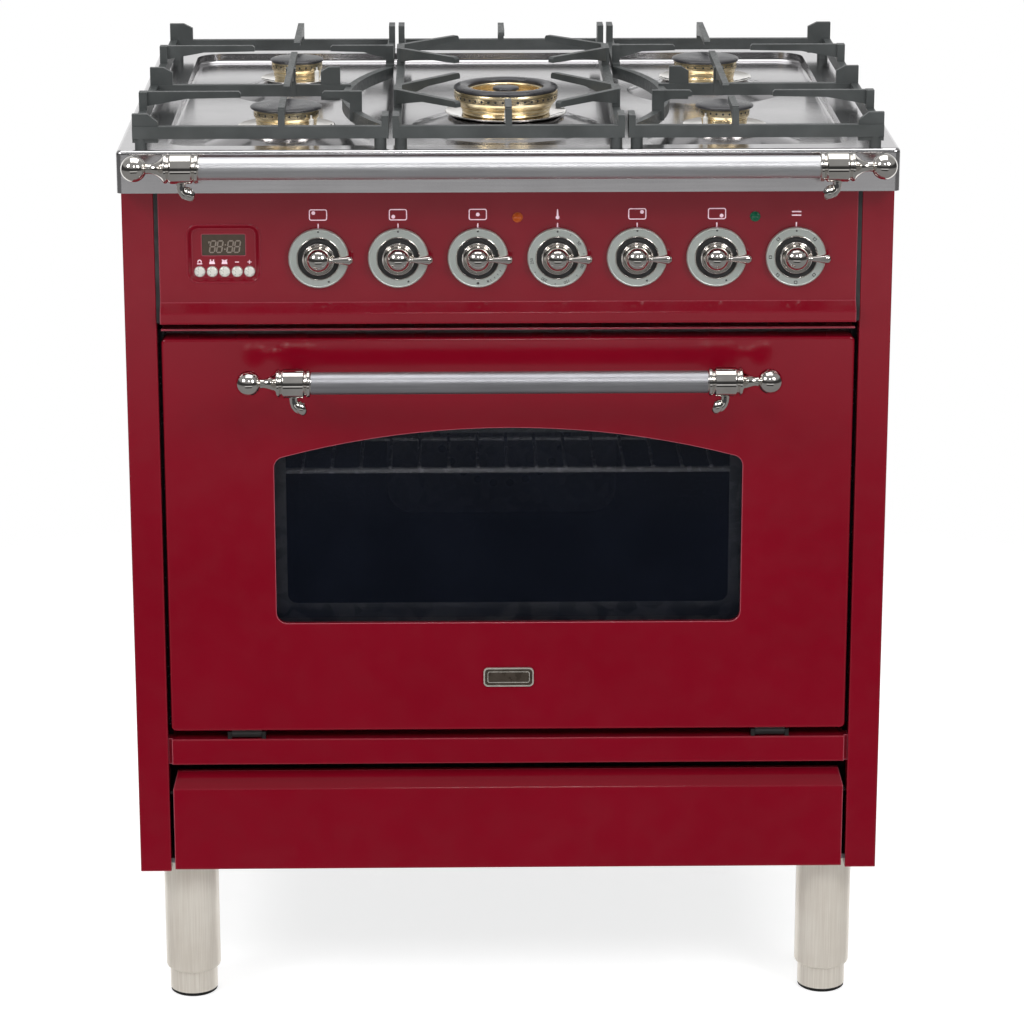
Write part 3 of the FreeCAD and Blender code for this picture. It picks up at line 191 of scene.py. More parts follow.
def brushed_look(name, dark, light, stretch, roughness, depth=0.0015, metallic=1.0):
    """Brushed metal whose fine lines run along the squeezed axis of the stretch."""
    look = Look(name, metallic=metallic)
    line = look.noise(900.0, 4.0, stretch)
    smear = look.noise(14.0, 3.0)
    shade = look.add("Math", {"operation": "MULTIPLY_ADD"})
    for socket, value in zip(shade.inputs, (line, 0.75, look.spread(smear, 0.0, 0.25))):
        connect(look.tree, socket, value)
    look.set(base_color=look.tint(shade.outputs[0], (0.32, dark), (0.68, light)))
    look.set(roughness=look.spread(line, roughness - 0.03, roughness + 0.03))
    return look.bump((line, depth))


def chrome_look():
    look = Look("polished_chrome", metallic=1.0)
    film = look.noise(60.0, 4.0)
    look.set(base_color=look.tint(film, (0.3, (0.76, 0.73, 0.69)), (0.7, (0.86, 0.83, 0.79))))
    return look.set(roughness=look.spread(film, 0.035, 0.075))


def wire_look():
    look = Look("bright_wire", metallic=1.0)
    film = look.noise(90.0, 4.0)
    look.set(base_color=look.tint(film, (0.3, (0.60, 0.60, 0.60)), (0.7, (0.80, 0.80, 0.79))))
    return look.set(roughness=look.spread(film, 0.12, 0.24))


def dial_look():
    """Satin plate with concentric brushing round the knob's own axis."""
    look = Look("satin_dial", metallic=0.8, anisotropic=0.5)
    ring = look.rings("Y", 2600.0)
    look.set(base_color=look.tint(ring, (0.30, (0.62, 0.67, 0.63)), (0.70, (0.74, 0.78, 0.74))))
    look.set(roughness=look.spread(ring, 0.32, 0.42))
    look.set(tangent=look.add("Tangent", {"direction_type": "RADIAL", "axis": "Y"}).outputs[0])
    return look.bump((ring, 0.003))


def iron_look():
    look = Look("enamelled_cast_iron", specular_ior_level=0.55)
    cloud = look.noise(26.0, 4.0)
    look.set(base_color=look.tint(cloud, (0.30, (0.040, 0.045, 0.045)), (0.70, (0.066, 0.072, 0.072))))
    look.set(roughness=look.spread(look.noise(300.0, 3.0), 0.34, 0.50))
    return look.bump((look.noise(260.0, 3.0), 0.09), (look.noise(1300.0, 2.0), 0.05))


def brass_look():
    look = Look("turned_brass", metallic=1.0)
    turn = look.noise(700.0, 3.0, (0.004, 0.004, 1.0))
    stain = look.noise(45.0, 4.0)
    look.set(base_color=look.tint(stain, (0.30, (0.78, 0.60, 0.33)), (0.62, (0.93, 0.80, 0.55))))
    look.set(roughness=look.spread(turn, 0.22, 0.34))
    return look.bump((turn, 0.006))


def cap_look():
    look = Look("black_cap_enamel", specular_ior_level=0.62)
    cloud = look.noise(70.0, 4.0)
    look.set(base_color=look.tint(cloud, (0.30, (0.018, 0.018, 0.021)), (0.70, (0.032, 0.031, 0.036))))
    look.set(roughness=look.spread(cloud, 0.26, 0.36))
    return look.bump((look.noise(500.0, 3.0), 0.012))


def galvanised_look():
    look = Look("galvanised_sheet", metallic=1.0)
    cells = look.add("TexVoronoi", Vector=look.coords, Scale=75.0).outputs["Color"]
    grain = look.noise(220.0, 3.0)
    spangle = look.add("SeparateColor", Color=cells).outputs[0]
    look.set(base_color=look.tint(spangle, (0.1, (0.42, 0.43, 0.44)), (0.9, (0.60, 0.61, 0.62))))
    look.set(roughness=look.spread(spangle, 0.34, 0.50, 0.0, 1.0))
    return look.bump((grain, 0.01))


def oven_look():
    """Dark oven enamel with a sprinkle of pale specks."""
    look = Look("speckled_oven_enamel", specular_ior_level=0.5, roughness=0.22)
    cells = look.add("TexVoronoi", Vector=look.coords, Scale=330.0).outputs["Distance"]
    look.set(base_color=look.tint(cells, (0.08, (0.22, 0.23, 0.26)), (0.20, (0.012, 0.013, 0.018))))
    return look.bump((look.noise(170.0, 2.0), 0.01))


def glass_look(name, colour, alpha, specular):
    look = Look(name, alpha=alpha, specular_ior_level=specular)
    smear = look.noise(18.0, 3.0)
    dim = [c * 0.7 for c in colour]
    look.set(base_color=look.tint(smear, (0.3, dim), (0.7, colour)))
    return look.set(roughness=look.spread(smear, 0.02, 0.06))


def plain_look(name, dark, light, roughness, scale=120.0, depth=0.01, **values):
    """Fine mottled finish for small parts."""
    look = Look(name, **values)
    cloud = look.noise(scale, 4.0)
    look.set(base_color=look.tint(cloud, (0.3, dark), (0.7, light)))
    look.set(roughness=look.spread(cloud, roughness * 0.85, roughness * 1.15))
    return look.bump((look.noise(scale * 6, 2.0), depth))


def foot_look():
    """Brushed sleeve above a black rubber glide."""
    look = Look("foot_with_glide")
    over = look.spread(look.height(), 0.0, 1.0, GLIDE_H - 0.0001, GLIDE_H)
    line = look.noise(900.0, 4.0, UPWARDS)
    steel = look.tint(line, (0.32, LEG_DARK), (0.68, LEG_LIGHT))
    look.set(base_color=look.blend(over, (0.006, 0.006, 0.006), steel))
    look.set(metallic=look.spread(over, 0.0, LEG_METAL, 0.0, 1.0))
    look.set(roughness=look.spread(over, 0.6, 0.36, 0.0, 1.0))
    return look.bump((line, 0.0015))


def gasket_look():
    look = Look("braided_gasket", roughness=0.85, sheen_weight=0.2)
    wave = look.add("TexWave", {"bands_direction": "DIAGONAL"}, Vector=look.coords,
                    Scale=180.0, Distortion=1.5)
    braid = wave.outputs["Fac"]
    look.set(base_color=look.tint(braid, (0.2, (0.05, 0.05, 0.045)), (0.8, (0.16, 0.15, 0.14))))
    return look.bump((braid, 0.25))


enamel = enamel_look()
chrome = chrome_look()
dial = dial_look()
iron = iron_look()
brass = brass_look()
cap_enamel = cap_look()
galvanised = galvanised_look()
wire = wire_look()
worktop_steel = brushed_look("worktop_steel", (0.54, 0.53, 0.54), (0.62, 0.61, 0.62), (0.012, 1, 1), 0.17,
                             depth=0.0004)
satin_tube = brushed_look("satin_tube", (0.66, 0.66, 0.68), (0.74, 0.74, 0.76), LENGTHWISE, 0.42)
handle_tube = brushed_look("satin_handle", (0.46, 0.46, 0.49), (0.54, 0.54, 0.57), LENGTHWISE, 0.42)
leg_steel = brushed_look("leg_steel", LEG_DARK, LEG_LIGHT, UPWARDS, 0.34, metallic=LEG_METAL)
ceramic = plain_look("ceramic", (0.70, 0.69, 0.66), (0.82, 0.81, 0.78), 0.2)
ink = plain_look("pale_ink", (0.82, 0.56, 0.66), (0.92, 0.66, 0.76), 0.45)
# near-black colour is painted shade on the hinge parts deep in the door's gap
shaded_hinge_look = plain_look("hinge_painted_shade", (0.005, 0.004, 0.004), (0.010, 0.009, 0.009), 0.6)
badge_rim = plain_look("badge_rim", (0.42, 0.40, 0.36), (0.56, 0.53, 0.48), 0.25, metallic=0.5)
# near-black for the dials' print, and painted shade in the knob grooves, gas ports, set holes and fascia gaps
ink_and_painted_shade = plain_look("ink_and_painted_shade", (0.015, 0.015, 0.016), (0.03, 0.03, 0.03), 0.5)
button_metal = plain_look("pearl_button", (0.66, 0.66, 0.60), (0.78, 0.77, 0.72), 0.28, metallic=0.35)
outer_glass = glass_look("dark_outer_glass", (0.006, 0.008, 0.015), 0.36, 0.5)
inner_glass = glass_look("clear_inner_glass", (0.02, 0.025, 0.03), 0.08, 0.5)
display_glass = plain_look("display_pane", (0.036, 0.024, 0.014), (0.052, 0.036, 0.024), 0.14, depth=0.001)
segment = plain_look("unlit_segment", (0.17, 0.135, 0.11), (0.23, 0.19, 0.16), 0.4)
bronze = plain_look("badge_bronze", (0.040, 0.030, 0.022), (0.065, 0.050, 0.038), 0.3,
                    depth=0.003, metallic=0.3)
# the jewels are unlit; their small emission is a painted glow
amber = plain_look("amber_jewel_painted_glow", (0.24, 0.035, 0.005), (0.42, 0.08, 0.012), 0.05,
                   emission_color=(0.6, 0.12, 0.02, 1), emission_strength=0.05, specular_ior_level=0.9)
green = plain_look("green_jewel_painted_glow", (0.002, 0.045, 0.022), (0.008, 0.10, 0.05), 0.05,
                   emission_color=(0.0, 0.3, 0.15, 1), emission_strength=0.02, specular_ior_level=0.9)
shelf_wire = plain_look("shelf_wire", (0.62, 0.62, 0.66), (0.86, 0.86, 0.90), 0.25, metallic=0.35)

SLOT_LOOKS = {
    "enamel_red": enamel, "worktop_steel": worktop_steel, "brushed_steel": satin_tube,
    "galvanised_steel": galvanised, "chrome": chrome, "satin_metal": dial, "cast_iron": iron,
    "brass": brass, "black_enamel": cap_enamel, "oven_enamel": oven_look(), "ceramic": ceramic,
    "dark_glass": outer_glass, "clear_glass": inner_glass, "lamp_plastic": amber,
    "button_metal": button_metal, "glass_fibre": gasket_look(),
}
NODE_LOOKS = {
    "timer_display": display_glass, "oven_shelf": shelf_wire, "side_racks": wire, "leg_tubes": leg_steel,
    "door_handle_bar": handle_tube, "door_hinge_arms": shaded_hinge_look, "door_hinge_mounts": shaded_hinge_look,
    "door_badge": badge_rim,
}
foot_steel = foot_look()


def paint_nodes():
    """Gives each CAD node the look of its own, or of its material slot."""
    for row in frame["record"]["subparts"]:
        look = NODE_LOOKS.get(row["node"], SLOT_LOOKS[row["material_slot"]])
        if row["node"].startswith("foot_"):
            look = foot_steel
        mesh = frame["nodes"][row["node"]].data
        mesh.materials.clear()
        mesh.materials.append(look.material)


paint_nodes()


# --- shapes --------------------------------------------------------------------------------
def eased(points, radius=0.5, steps=3):
    """Rounds every inner corner of an open profile."""
    points = [Vector(p) for p in points]
    curve = [points[0]]
    for before, corner, after in zip(points, points[1:], points[2:]):
        into, out = before - corner, after - corner
        start = corner + into * min(0.45, radius / into.length)
        end = corner + out * min(0.45, radius / out.length)
        for i in range(steps + 1):
            t = i / steps
            curve.append(start * (1 - t) ** 2 + corner * 2 * t * (1 - t) + end * t ** 2)
    return curve + [points[-1]]


def arc(centre, radius, start, end, steps=14):
    """(distance along an axis, radius) points of a ball, by angle from its equator."""
    angles = [math.radians(start + (end - start) * i / steps) for i in range(steps + 1)]
    return [(centre + radius * math.sin(a), max(radius * math.cos(a), 0.0)) for a in angles]


def rounded(width, height, corner, steps=6):
    """Rounded rectangle round (0, 0), counter-clockwise."""
    points = []
    for quarter, (sx, sz) in enumerate(((1, 1), (-1, 1), (-1, -1), (1, -1))):
        for i in range(steps + 1):
            angle = math.radians(90.0 * (quarter + i / steps))
            points.append((sx * (width / 2 - corner) + corner * math.cos(angle),
                           sz * (height / 2 - corner) + corner * math.sin(angle)))
    return points


def turns(steps):
    """Evenly spaced angles of one full turn."""
    return [2 * math.pi * i / steps for i in range(steps)]


def disc(radius, steps=20):
    return [(radius * math.cos(a), radius * math.sin(a)) for a in turns(steps)]


class Solid:
    """Mesh under construction, in millimetres. Each face keeps the number of its material."""

    def __init__(self):
        self.bm = bmesh.new()

    def loop(self, points):
        return [self.bm.verts.new(p) for p in points]

    def face(self, corners, slot=0):
        corners = list(dict.fromkeys(corners))
        if len(corners) > 2:
            self.bm.faces.new(corners).material_index = slot

    def skin(self, loops, slot=0):
        """Faces between successive closed loops; a loop of one vertex is a pole."""
        for low, high in zip(loops, loops[1:]):
            count = max(len(low), len(high))
            for i in range(count):
                j = (i + 1) % count
                pick = [low[i % len(low)], low[j % len(low)], high[j % len(high)], high[i % len(high)]]
                self.face(pick, slot)

    def lathe(self, profile, centre, axis, slot=0, segments=64):
        """Revolves (distance along the axis, radius) points."""
        axis = Vector(axis)
        side = UP if abs(axis.z) < 0.5 else RIGHT
        across = axis.cross(side)
        loops = []
        for along, radius in profile:
            middle = Vector(centre) + axis * along
            if radius < 0.01:
                loops.append(self.loop([middle]))
                continue
            loops.append(self.loop([middle + (side * math.cos(a) + across * math.sin(a)) * radius
                                    for a in turns(segments)]))
        self.skin(loops, slot)

    def sweep(self, path, radii, slot=0, segments=16, squash=1.0):
        """Bar along a path in an XZ plane, with a radius at each point; squash flattens it along Y."""
        path = [Vector(p) for p in path]
        depth = -OUT * squash
        loops = [self.loop([path[0]])]
        for i, (point, radius) in enumerate(zip(path, radii)):
            run = (path[min(i + 1, len(path) - 1)] - path[max(i - 1, 0)]).normalized()
            side = run.cross(-OUT)
            loops.append(self.loop([point + (side * math.cos(a) + depth * math.sin(a)) * radius
                                    for a in turns(segments)]))
        loops.append(self.loop([path[-1]]))
        self.skin(loops, slot)

    def plate(self, outline, centre, front, back, slot=0):
        """Flat plate facing -Y: outline of (x, z) points round a centre."""
        self.slab([(centre[0] + x, front, centre[1] + z) for x, z in outline],
                  [(centre[0] + x, back, centre[1] + z) for x, z in outline], slot)

    def slab(self, near, far, slot=0):
        """Closed plate between two matching outlines."""
        near, far = self.loop(near), self.loop(far)
        self.face(near, slot)
        self.face(far[::-1], slot)
        self.skin([near, far], slot)

    def frame(self, outer, inner, centre, front, back, slot=0):
        """Flat plate with an opening of as many corners as its outline."""
        rims = [self.loop([(centre[0] + x, y, centre[1] + z) for x, z in outline])
                for outline, y in ((outer, front), (inner, front), (inner, back), (outer, back))]
        self.skin(rims + rims[:1], slot)

    def stamp(self, mesh, matrix, slot=0):
        """Adds a ready mesh, moved by a matrix."""
        corners = self.loop([matrix @ v.co for v in mesh.vertices])
        for polygon in mesh.polygons:
            self.face([corners[i] for i in polygon.vertices], slot)

    def mirror(self):
        """Adds a copy of everything on the other side of X = 0."""
        everything = self.bm.verts[:] + self.bm.edges[:] + self.bm.faces[:]
        copied = bmesh.ops.duplicate(self.bm, geom=everything)["geom"]
        corners = [item for item in copied if isinstance(item, bmesh.types.BMVert)]
        bmesh.ops.scale(self.bm, vec=(-1, 1, 1), verts=corners)

    def piece(self, name, body, looks, replaces=(), origin=(0, 0, 0), crease=32.0):
        """Makes the object, in metres, hangs it on the body it rides on and hides the CAD parts it replaces."""
        bm = self.bm
        bmesh.ops.remove_doubles(bm, verts=bm.verts, dist=0.001)
        bmesh.ops.recalc_face_normals(bm, faces=bm.faces)
        bmesh.ops.scale(bm, vec=(MM, MM, MM), verts=bm.verts)
        mesh = bpy.data.meshes.new(name)
        bm.to_mesh(mesh)
        bm.free()
        mesh.shade_smooth()
        mesh.set_sharp_from_angle(angle=math.radians(crease))
        for look in looks:
            mesh.materials.append(look.material)
        made = bpy.data.objects.new(name, mesh)
        made.location = Vector(origin) * MM
        bpy.context.scene.collection.objects.link(made)
        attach(made, body)
        if replaces:
            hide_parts(*replaces)


# --- grates --------------------------------------------------------------------------------
CAST_EDGE = 1.3           # width of the castings' rounded edges
WELD_GAP = 0.01
SHARP_ANGLE = 35.0


def soften_edges(node):
    """Rounds the sharp edges of a casting."""
    shown = frame["nodes"][node]
    weld = shown.modifiers.new("weld", "WELD")
    weld.merge_threshold = WELD_GAP * MM
    bevel = shown.modifiers.new("bevel", "BEVEL")
    bevel.width = CAST_EDGE * MM
    bevel.segments = 2
    bevel.limit_method = "ANGLE"
    bevel.angle_limit = math.radians(SHARP_ANGLE)
    bevel.harden_normals = False
    shown.modifiers.new("normals", "WEIGHTED_NORMAL").keep_sharp = False
    shown.data.shade_smooth()


for node in ("grate_left", "grate_centre", "grate_right"):
    soften_edges(node)


# --- knobs ---------------------------------------------------------------------------------
DIAL_FACE = 5.2
GAS_KNOBS = ("rear_left", "front_left", "wok", "rear_right", "front_right")
KNOBS = (*GAS_KNOBS, "oven", "selector")
SATIN, CHROME, INK_AND_SHADE = 0, 1, 2           # the dial pieces' materials; the last is both the print ink and the painted shade of the groove
DOT_R, SIGN_R = 26.4, 25.4             # where the dials' dots and signs lie
OVEN_FIGURES = ("50", "100", "150", "200", "250")
OVEN_START, OVEN_STEP = 55.0, 52.0     # their angles
SELECTOR_STOPS = 8


def dial_point(angle, radius, lift=DIAL_FACE + 0.05):
    """Point on the dial face, by angle clockwise from the top."""
    turn = math.radians(angle)
    return Vector((radius * math.sin(turn), -lift, radius * math.cos(turn)))


def dial_place(point, angle):
    """Matrix of a mark at a point of the dial, turned to face outwards from its middle."""
    return Matrix.Translation(point) @ Matrix.Rotation(math.radians(angle), 4, "Y")


def dial_mark(solid, outline, angle, radius):
    """Small flat ink mark on the dial."""
    place = dial_place(dial_point(angle, radius), angle)
    solid.slab([place @ Vector((x, 0, z)) for x, z in outline],
               [place @ Vector((x, 0.1, z)) for x, z in outline], INK_AND_SHADE)


def dial_figure(solid, text, angle, radius, size):
    """A number on the dial."""
    curve = bpy.data.curves.new("figure", "FONT")
    curve.body = text
    curve.size = size
    curve.align_x = "CENTER"
    curve.align_y = "CENTER"
    curve.extrude = 0.05
    holder = bpy.data.objects.new("figure", curve)
    mesh = bpy.data.meshes.new_from_object(holder)
    place = dial_place(dial_point(angle, radius, DIAL_FACE), angle)
    solid.stamp(mesh, place @ Matrix.Rotation(math.radians(90), 4, "X"), INK_AND_SHADE)
    bpy.data.objects.remove(holder)
    bpy.data.curves.remove(curve)
    bpy.data.meshes.remove(mesh)


def star(radius, points=5):
    corners = []
    for i in range(points * 2):
        reach = radius if i % 2 == 0 else radius * 0.45
        corners.append((reach * math.sin(math.pi * i / points), reach * math.cos(math.pi * i / points)))
    return corners


def knob_body(solid):
    """Satin dial, beaded edge, groove darkened with painted shade, saucer and ball, and the lever to the right."""
    axis = (0, 0, 0), OUT
    skirt = [(0.6, 0.0), (0.6, 29.0), (1.4, 29.9), (3.0, 30.0), (4.6, 29.6), (5.5, 28.9), (5.5, 28.2),
             (DIAL_FACE, 27.8), (DIAL_FACE, 21.9)]
    bead = [(DIAL_FACE, 21.9), (5.9, 21.6), (6.2, 21.2), (6.2, 20.8), (5.6, 20.4), (4.0, 20.2)]
    groove = [(4.0, 20.2), (3.6, 19.0), (3.6, 17.0), (5.0, 16.0)]
    saucer = [(5.0, 16.0), (7.6, 15.9), (8.9, 16.2), (9.6, 15.6), (9.5, 14.6), (8.7, 13.3), (8.6, 12.3)]
    ball = [saucer[-1]] + arc(10.9, 12.5, -10.6, 90.0, 22)
    solid.lathe(eased(skirt, 0.4), *axis, SATIN, 96)
    solid.lathe(eased(bead, 0.5), *axis, CHROME, 96)
    # the groove takes the near-black: painted shade in the recess round the saucer
    solid.lathe(eased(groove, 0.4), *axis, INK_AND_SHADE, 96)
    solid.lathe(eased(saucer, 0.5), *axis, CHROME, 96)
    solid.lathe(ball, *axis, CHROME, 64)
    lever = [(9.0, 0.0), (9.0, 3.4), (12.4, 3.4), (13.0, 2.4), (15.0, 2.5), (20.0, 3.3), (25.0, 4.2),
             (29.0, 5.0), (31.4, 4.9), (33.2, 3.4), (34.0, 1.6), (34.2, 0.0)]
    solid.lathe(eased(lever, 1.2), (0, -13.5, 0), RIGHT, CHROME, 32)


def gas_marks(solid):
    """Dot for off and a small flame star."""
    dial_mark(solid, disc(1.0, 14), 0.0, 27.0)
    dial_mark(solid, star(1.5), 157.0, 25.2)


def wok_marks(solid):
    for angle in range(120, 151, 10):
        dial_mark(solid, rounded(0.5, 2.0, 0.2, 2), angle, 25.5)
    dial_mark(solid, star(2.0), 180.0, 25.2)


def oven_marks(solid):
    """Temperatures with a tick before each."""
    for i, figure in enumerate(OVEN_FIGURES):
        angle = OVEN_START + OVEN_STEP * i
        dial_figure(solid, figure, angle, SIGN_R, 4.2)
        dial_mark(solid, rounded(0.5, 1.6, 0.2, 2), angle - OVEN_STEP / 2, 26.2)
    dial_mark(solid, disc(0.9, 14), 0.0, DOT_R)


def selector_marks(solid):
    """Dot for off and seven plain oven signs."""
    sign = rounded(3.4, 3.0, 0.5, 2)
    window = [(x * 0.65, z * 0.6) for x, z in sign]
    dial_mark(solid, disc(0.9, 14), 0.0, DOT_R)
    for i in range(1, SELECTOR_STOPS):
        angle = 360.0 * i / SELECTOR_STOPS
        dial_mark(solid, sign, angle, SIGN_R)
        place = dial_point(angle, SIGN_R)
        solid.plate(window, (place.x, place.z), place.y - 0.03, place.y, SATIN)


def knob(name, *marks):
    """One knob round its own axis."""
    solid = Solid()
    knob_body(solid)
    for draw in marks:
        draw(solid)
    body = "knob_" + name
    solid.piece("dial_" + name, body, (dial, chrome, ink_and_painted_shade), (body,), PINS[body])


KNOB_MARKS = {"wok": (gas_marks, wok_marks), "oven": (oven_marks,), "selector": (selector_marks,)}
for name in KNOBS:
    knob(name, *KNOB_MARKS.get(name, (gas_marks,)))


# --- fascia print, lamps and timer ---------------------------------------------------------
PRINT, PRINT_BACK = FRONT - 0.06, FRONT + 0.05      # the ink stands just out of the enamel
ICON_Z = 841.9
TICK_Z = 830.9
LAMP_Z = 839.0
HOB_DOTS = {"rear_left": (-4.6, 2.0), "front_left": (-4.6, -2.0), "wok": (0.0, 0.0),
            "rear_right": (4.6, 2.0), "front_right": (4.6, -2.0)}


def fascia_print():
    """Hob plans with one burner marked, the oven and selector signs, and pointer ticks."""
    solid = Solid()
    for name, spot in HOB_DOTS.items():
        x = PINS["knob_" + name].x
        solid.frame(rounded(17.9, 11.3, 2.2), rounded(15.9, 9.3, 1.3), (x, ICON_Z), PRINT, PRINT_BACK)
        solid.plate(disc(1.9), (x + spot[0], ICON_Z + spot[1]), PRINT, PRINT_BACK)
    x = PINS["knob_oven"].x
    bulb_turn = [math.radians(a) for a in range(-150, 151, 25)]
    bulb = [(1.9 * math.sin(a), -3.2 - 1.9 * math.cos(a)) for a in bulb_turn]
    solid.plate(bulb + [(0.5, 4.6), (0.0, 5.2), (-0.5, 4.6)], (x, ICON_Z), PRINT, PRINT_BACK)
    x = PINS["knob_selector"].x
    for z in (-1.8, 1.8):
        solid.plate(rounded(9.4, 1.3, 0.5, 3), (x, ICON_Z + z), PRINT, PRINT_BACK)
    for name in KNOBS:
        solid.plate(rounded(1.3, 4.5, 0.4, 3), (PINS["knob_" + name].x, TICK_Z), PRINT, PRINT_BACK)
    solid.piece("fascia_print", "cabinet", (ink,))


def lamp_jewel(name, x, look):
    """Faceted lens on a narrow collar."""
    solid = Solid()
    lens = [(0.0, 5.25), (0.7, 5.2), (0.9, 4.6), (1.9, 3.1), (2.15, 1.2), (2.2, 0.0)]
    solid.lathe([(-6.0, 0.0), (-6.0, 4.4), (0.0, 4.4), *lens], (x, FRONT, LAMP_Z), OUT, 0, 12)
    solid.piece(name, "cabinet", (look,), ("indicator_lamps",), crease=8.0)


TIMER = (-280.8, 803.4)                      # middle of the timer
TIMER_W, TIMER_H, TIMER_R = 73.6, 60.0, 12.0
TRAY_FLOOR = FRONT + 3.8
DISPLAY_Z = 811.4
DISPLAY = (42.8, 21.3)
BUTTON_R = 5.4
ICON_RISE = 9.6                              # of the icons over their buttons
DIGIT_H, DIGIT_W, STROKE, LEAN = 11.6, 5.0, 1.35, 0.16
DIGIT_X = (-14.2, -7.2, 3.0, 10.0)           # left edges of the digits from the timer's middle


def timer_loop(solid, inset, y):
    outline = rounded(TIMER_W - 2 * inset, TIMER_H - 2 * inset, TIMER_R - inset, 10)
    return solid.loop([(TIMER[0] + x, y, TIMER[1] + z) for x, z in outline])


def button_centres():
    buttons = [node for node in frame["nodes"] if node.startswith("button_")]
    return {node: sum(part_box(node), Vector()) / 2 / MM for node in buttons}


def timer_tray():
    """Pressed tray with a rolled rim and sloping walls, open at the display and the buttons."""
    solid = Solid()
    section = [(0.0, -0.05), (0.4, -0.7), (1.0, -0.9), (1.6, -0.7), (2.4, 0.1), (3.9, 2.2), (4.8, 3.3),
               (5.6, 3.8)]
    walls = [timer_loop(solid, inset, FRONT + y) for inset, y in eased(section, 0.5)]
    solid.skin(walls)
    pane = [(TIMER[0] + x, DISPLAY_Z + z) for x, z in rounded(DISPLAY[0], DISPLAY[1], 1.0, 3)]
    button_hole = disc(BUTTON_R + 0.25, 28)
    holes = [pane] + [[(at.x + x, at.z + z) for x, z in button_hole] for at in button_centres().values()]
    edges = []
    for outline in holes:
        near, far = (solid.loop([(x, y, z) for x, z in outline]) for y in (TRAY_FLOOR, TRAY_FLOOR + 0.9))
        solid.skin([near, far])
        edges += [solid.bm.edges.get((a, b)) for a, b in zip(near, near[1:] + near[:1])]
    rim = walls[-1]
    edges += [solid.bm.edges.get((a, b)) for a, b in zip(rim, rim[1:] + rim[:1])]
    bmesh.ops.triangle_fill(solid.bm, use_beauty=True, edges=edges)
    solid.piece("timer_tray", "cabinet", (enamel,), ("timer_bezel",))


def horseshoe(reach, width, start, end, steps=12):
    """Bent strip, by angle from +X."""
    angles = [math.radians(start + (end - start) * i / steps) for i in range(steps + 1)]
    outer = [(reach * math.cos(a), reach * math.sin(a)) for a in angles]
    inner = [((reach - width) * math.cos(a), (reach - width) * math.sin(a)) for a in angles]
    return outer + inner[::-1]


def timer_icons():
    """Bell, two cooking pots, minus and plus over the buttons."""
    pot = [(-2.9, -2.0), (2.9, -2.0), (2.5, 0.2), (1.9, 0.9), (-1.9, 0.9), (-2.5, 0.2)]
    knob_dot = rounded(1.3, 1.5, 0.4, 3)
    crossed_lid = [(-2.9, 2.7), (-2.0, 0.8), (0.0, 1.4), (2.0, 0.8), (2.9, 2.7), (0.0, 1.9)]
    bar = rounded(4.0, 0.9, 0.3, 3)
    upright = [(z, x) for x, z in bar][::-1]
    middle_of = (0, 0)
    signs = {     # outlines and their shifts from the sign's middle
        "button_bell": [(horseshoe(2.1, 0.9, -35, 215), (0, 0.4)), (rounded(5.2, 1.0, 0.4, 3), (0, -1.7))],
        "button_cook_time": [(pot, middle_of), (knob_dot, (-1.5, 1.9)), (knob_dot, (1.5, 1.9))],
        "button_end_time": [(pot, middle_of), (crossed_lid, middle_of)],
        "button_minus": [(bar, middle_of)],
        "button_plus": [(bar, middle_of), (upright, middle_of)],
    }
    solid = Solid()
    for node, middle in button_centres().items():
        for outline, shift in signs[node]:
            place = (middle.x + shift[0], middle.z + ICON_RISE + shift[1])
            solid.plate(outline, place, TRAY_FLOOR - 0.06, TRAY_FLOOR + 0.05)
    solid.piece("timer_icons", "cabinet", (ink,))


def timer_digits():
    """Four slanted seven-segment figures and the colon bar between them."""
    base = DISPLAY_Z - 7.6
    pane_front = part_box("timer_display")[0].y / MM
    solid = Solid()

    def segment_bar(x0, z0, x1, z1):
        along = Vector((x1 - x0, z1 - z0)).normalized()
        side = Vector((-along.y, along.x)) * STROKE / 2
        a, b = Vector((x0, z0)) + along * 0.25, Vector((x1, z1)) - along * 0.25
        tip = along * STROKE / 2
        corners = [a, a + tip + side, b - tip + side, b, b - tip - side, a + tip - side]
        outline = [(c.x + (c.y - base) * LEAN, c.y) for c in corners]
        solid.plate(outline, (0, 0), pane_front - 0.05, pane_front + 0.05)

    middle, top = base + DIGIT_H / 2, base + DIGIT_H
    for start in DIGIT_X:
        x0 = TIMER[0] + start
        x1 = x0 + DIGIT_W
        for z in (base, middle, top):
            segment_bar(x0, z, x1, z)
        for x in (x0, x1):
            segment_bar(x, base, x, middle)
            segment_bar(x, middle, x, top)
    for z in (3.2, 7.6):
        place = (TIMER[0] + 0.6 + z * LEAN, base + z)
        solid.plate(disc(0.8, 12), place, pane_front - 0.05, pane_front + 0.05)
    segment_bar(TIMER[0] - 16.0, base + 8.6, TIMER[0] - 16.0, base + 11.8)
    solid.piece("timer_digits", "cabinet", (segment,))


def timer_buttons():
    """Domed caps that move with the buttons."""
    for node, middle in button_centres().items():
        solid = Solid()
        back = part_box(node)[1].y / MM
        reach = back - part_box(node)[0].y / MM
        cap = [(0.0, 0.0), (0.0, BUTTON_R), (reach - 1.7, BUTTON_R), (reach - 0.8, 4.9), (reach - 0.2, 3.4),
               (reach, 0.0)]
        solid.lathe(eased(cap, 0.9, 4), (0, 0, 0), OUT, 0, 40)
        place = (middle.x, back, middle.z)
        solid.piece("cap_" + node, node, (button_metal,), (node,), place)


fascia_print()
lamp_jewel("amber_lamp", 8.9, amber)
lamp_jewel("green_lamp", 243.0, green)
timer_tray()
timer_icons()
timer_digits()
timer_buttons()


# --- rail and handle brackets --------------------------------------------------------------
BARREL_R = 14.5
BALL_R = 12.6
NECK = 14.0               # from the trumpet's thin end to the ball's middle
STEM_X, STEM_DROP = 17.5, 9.0


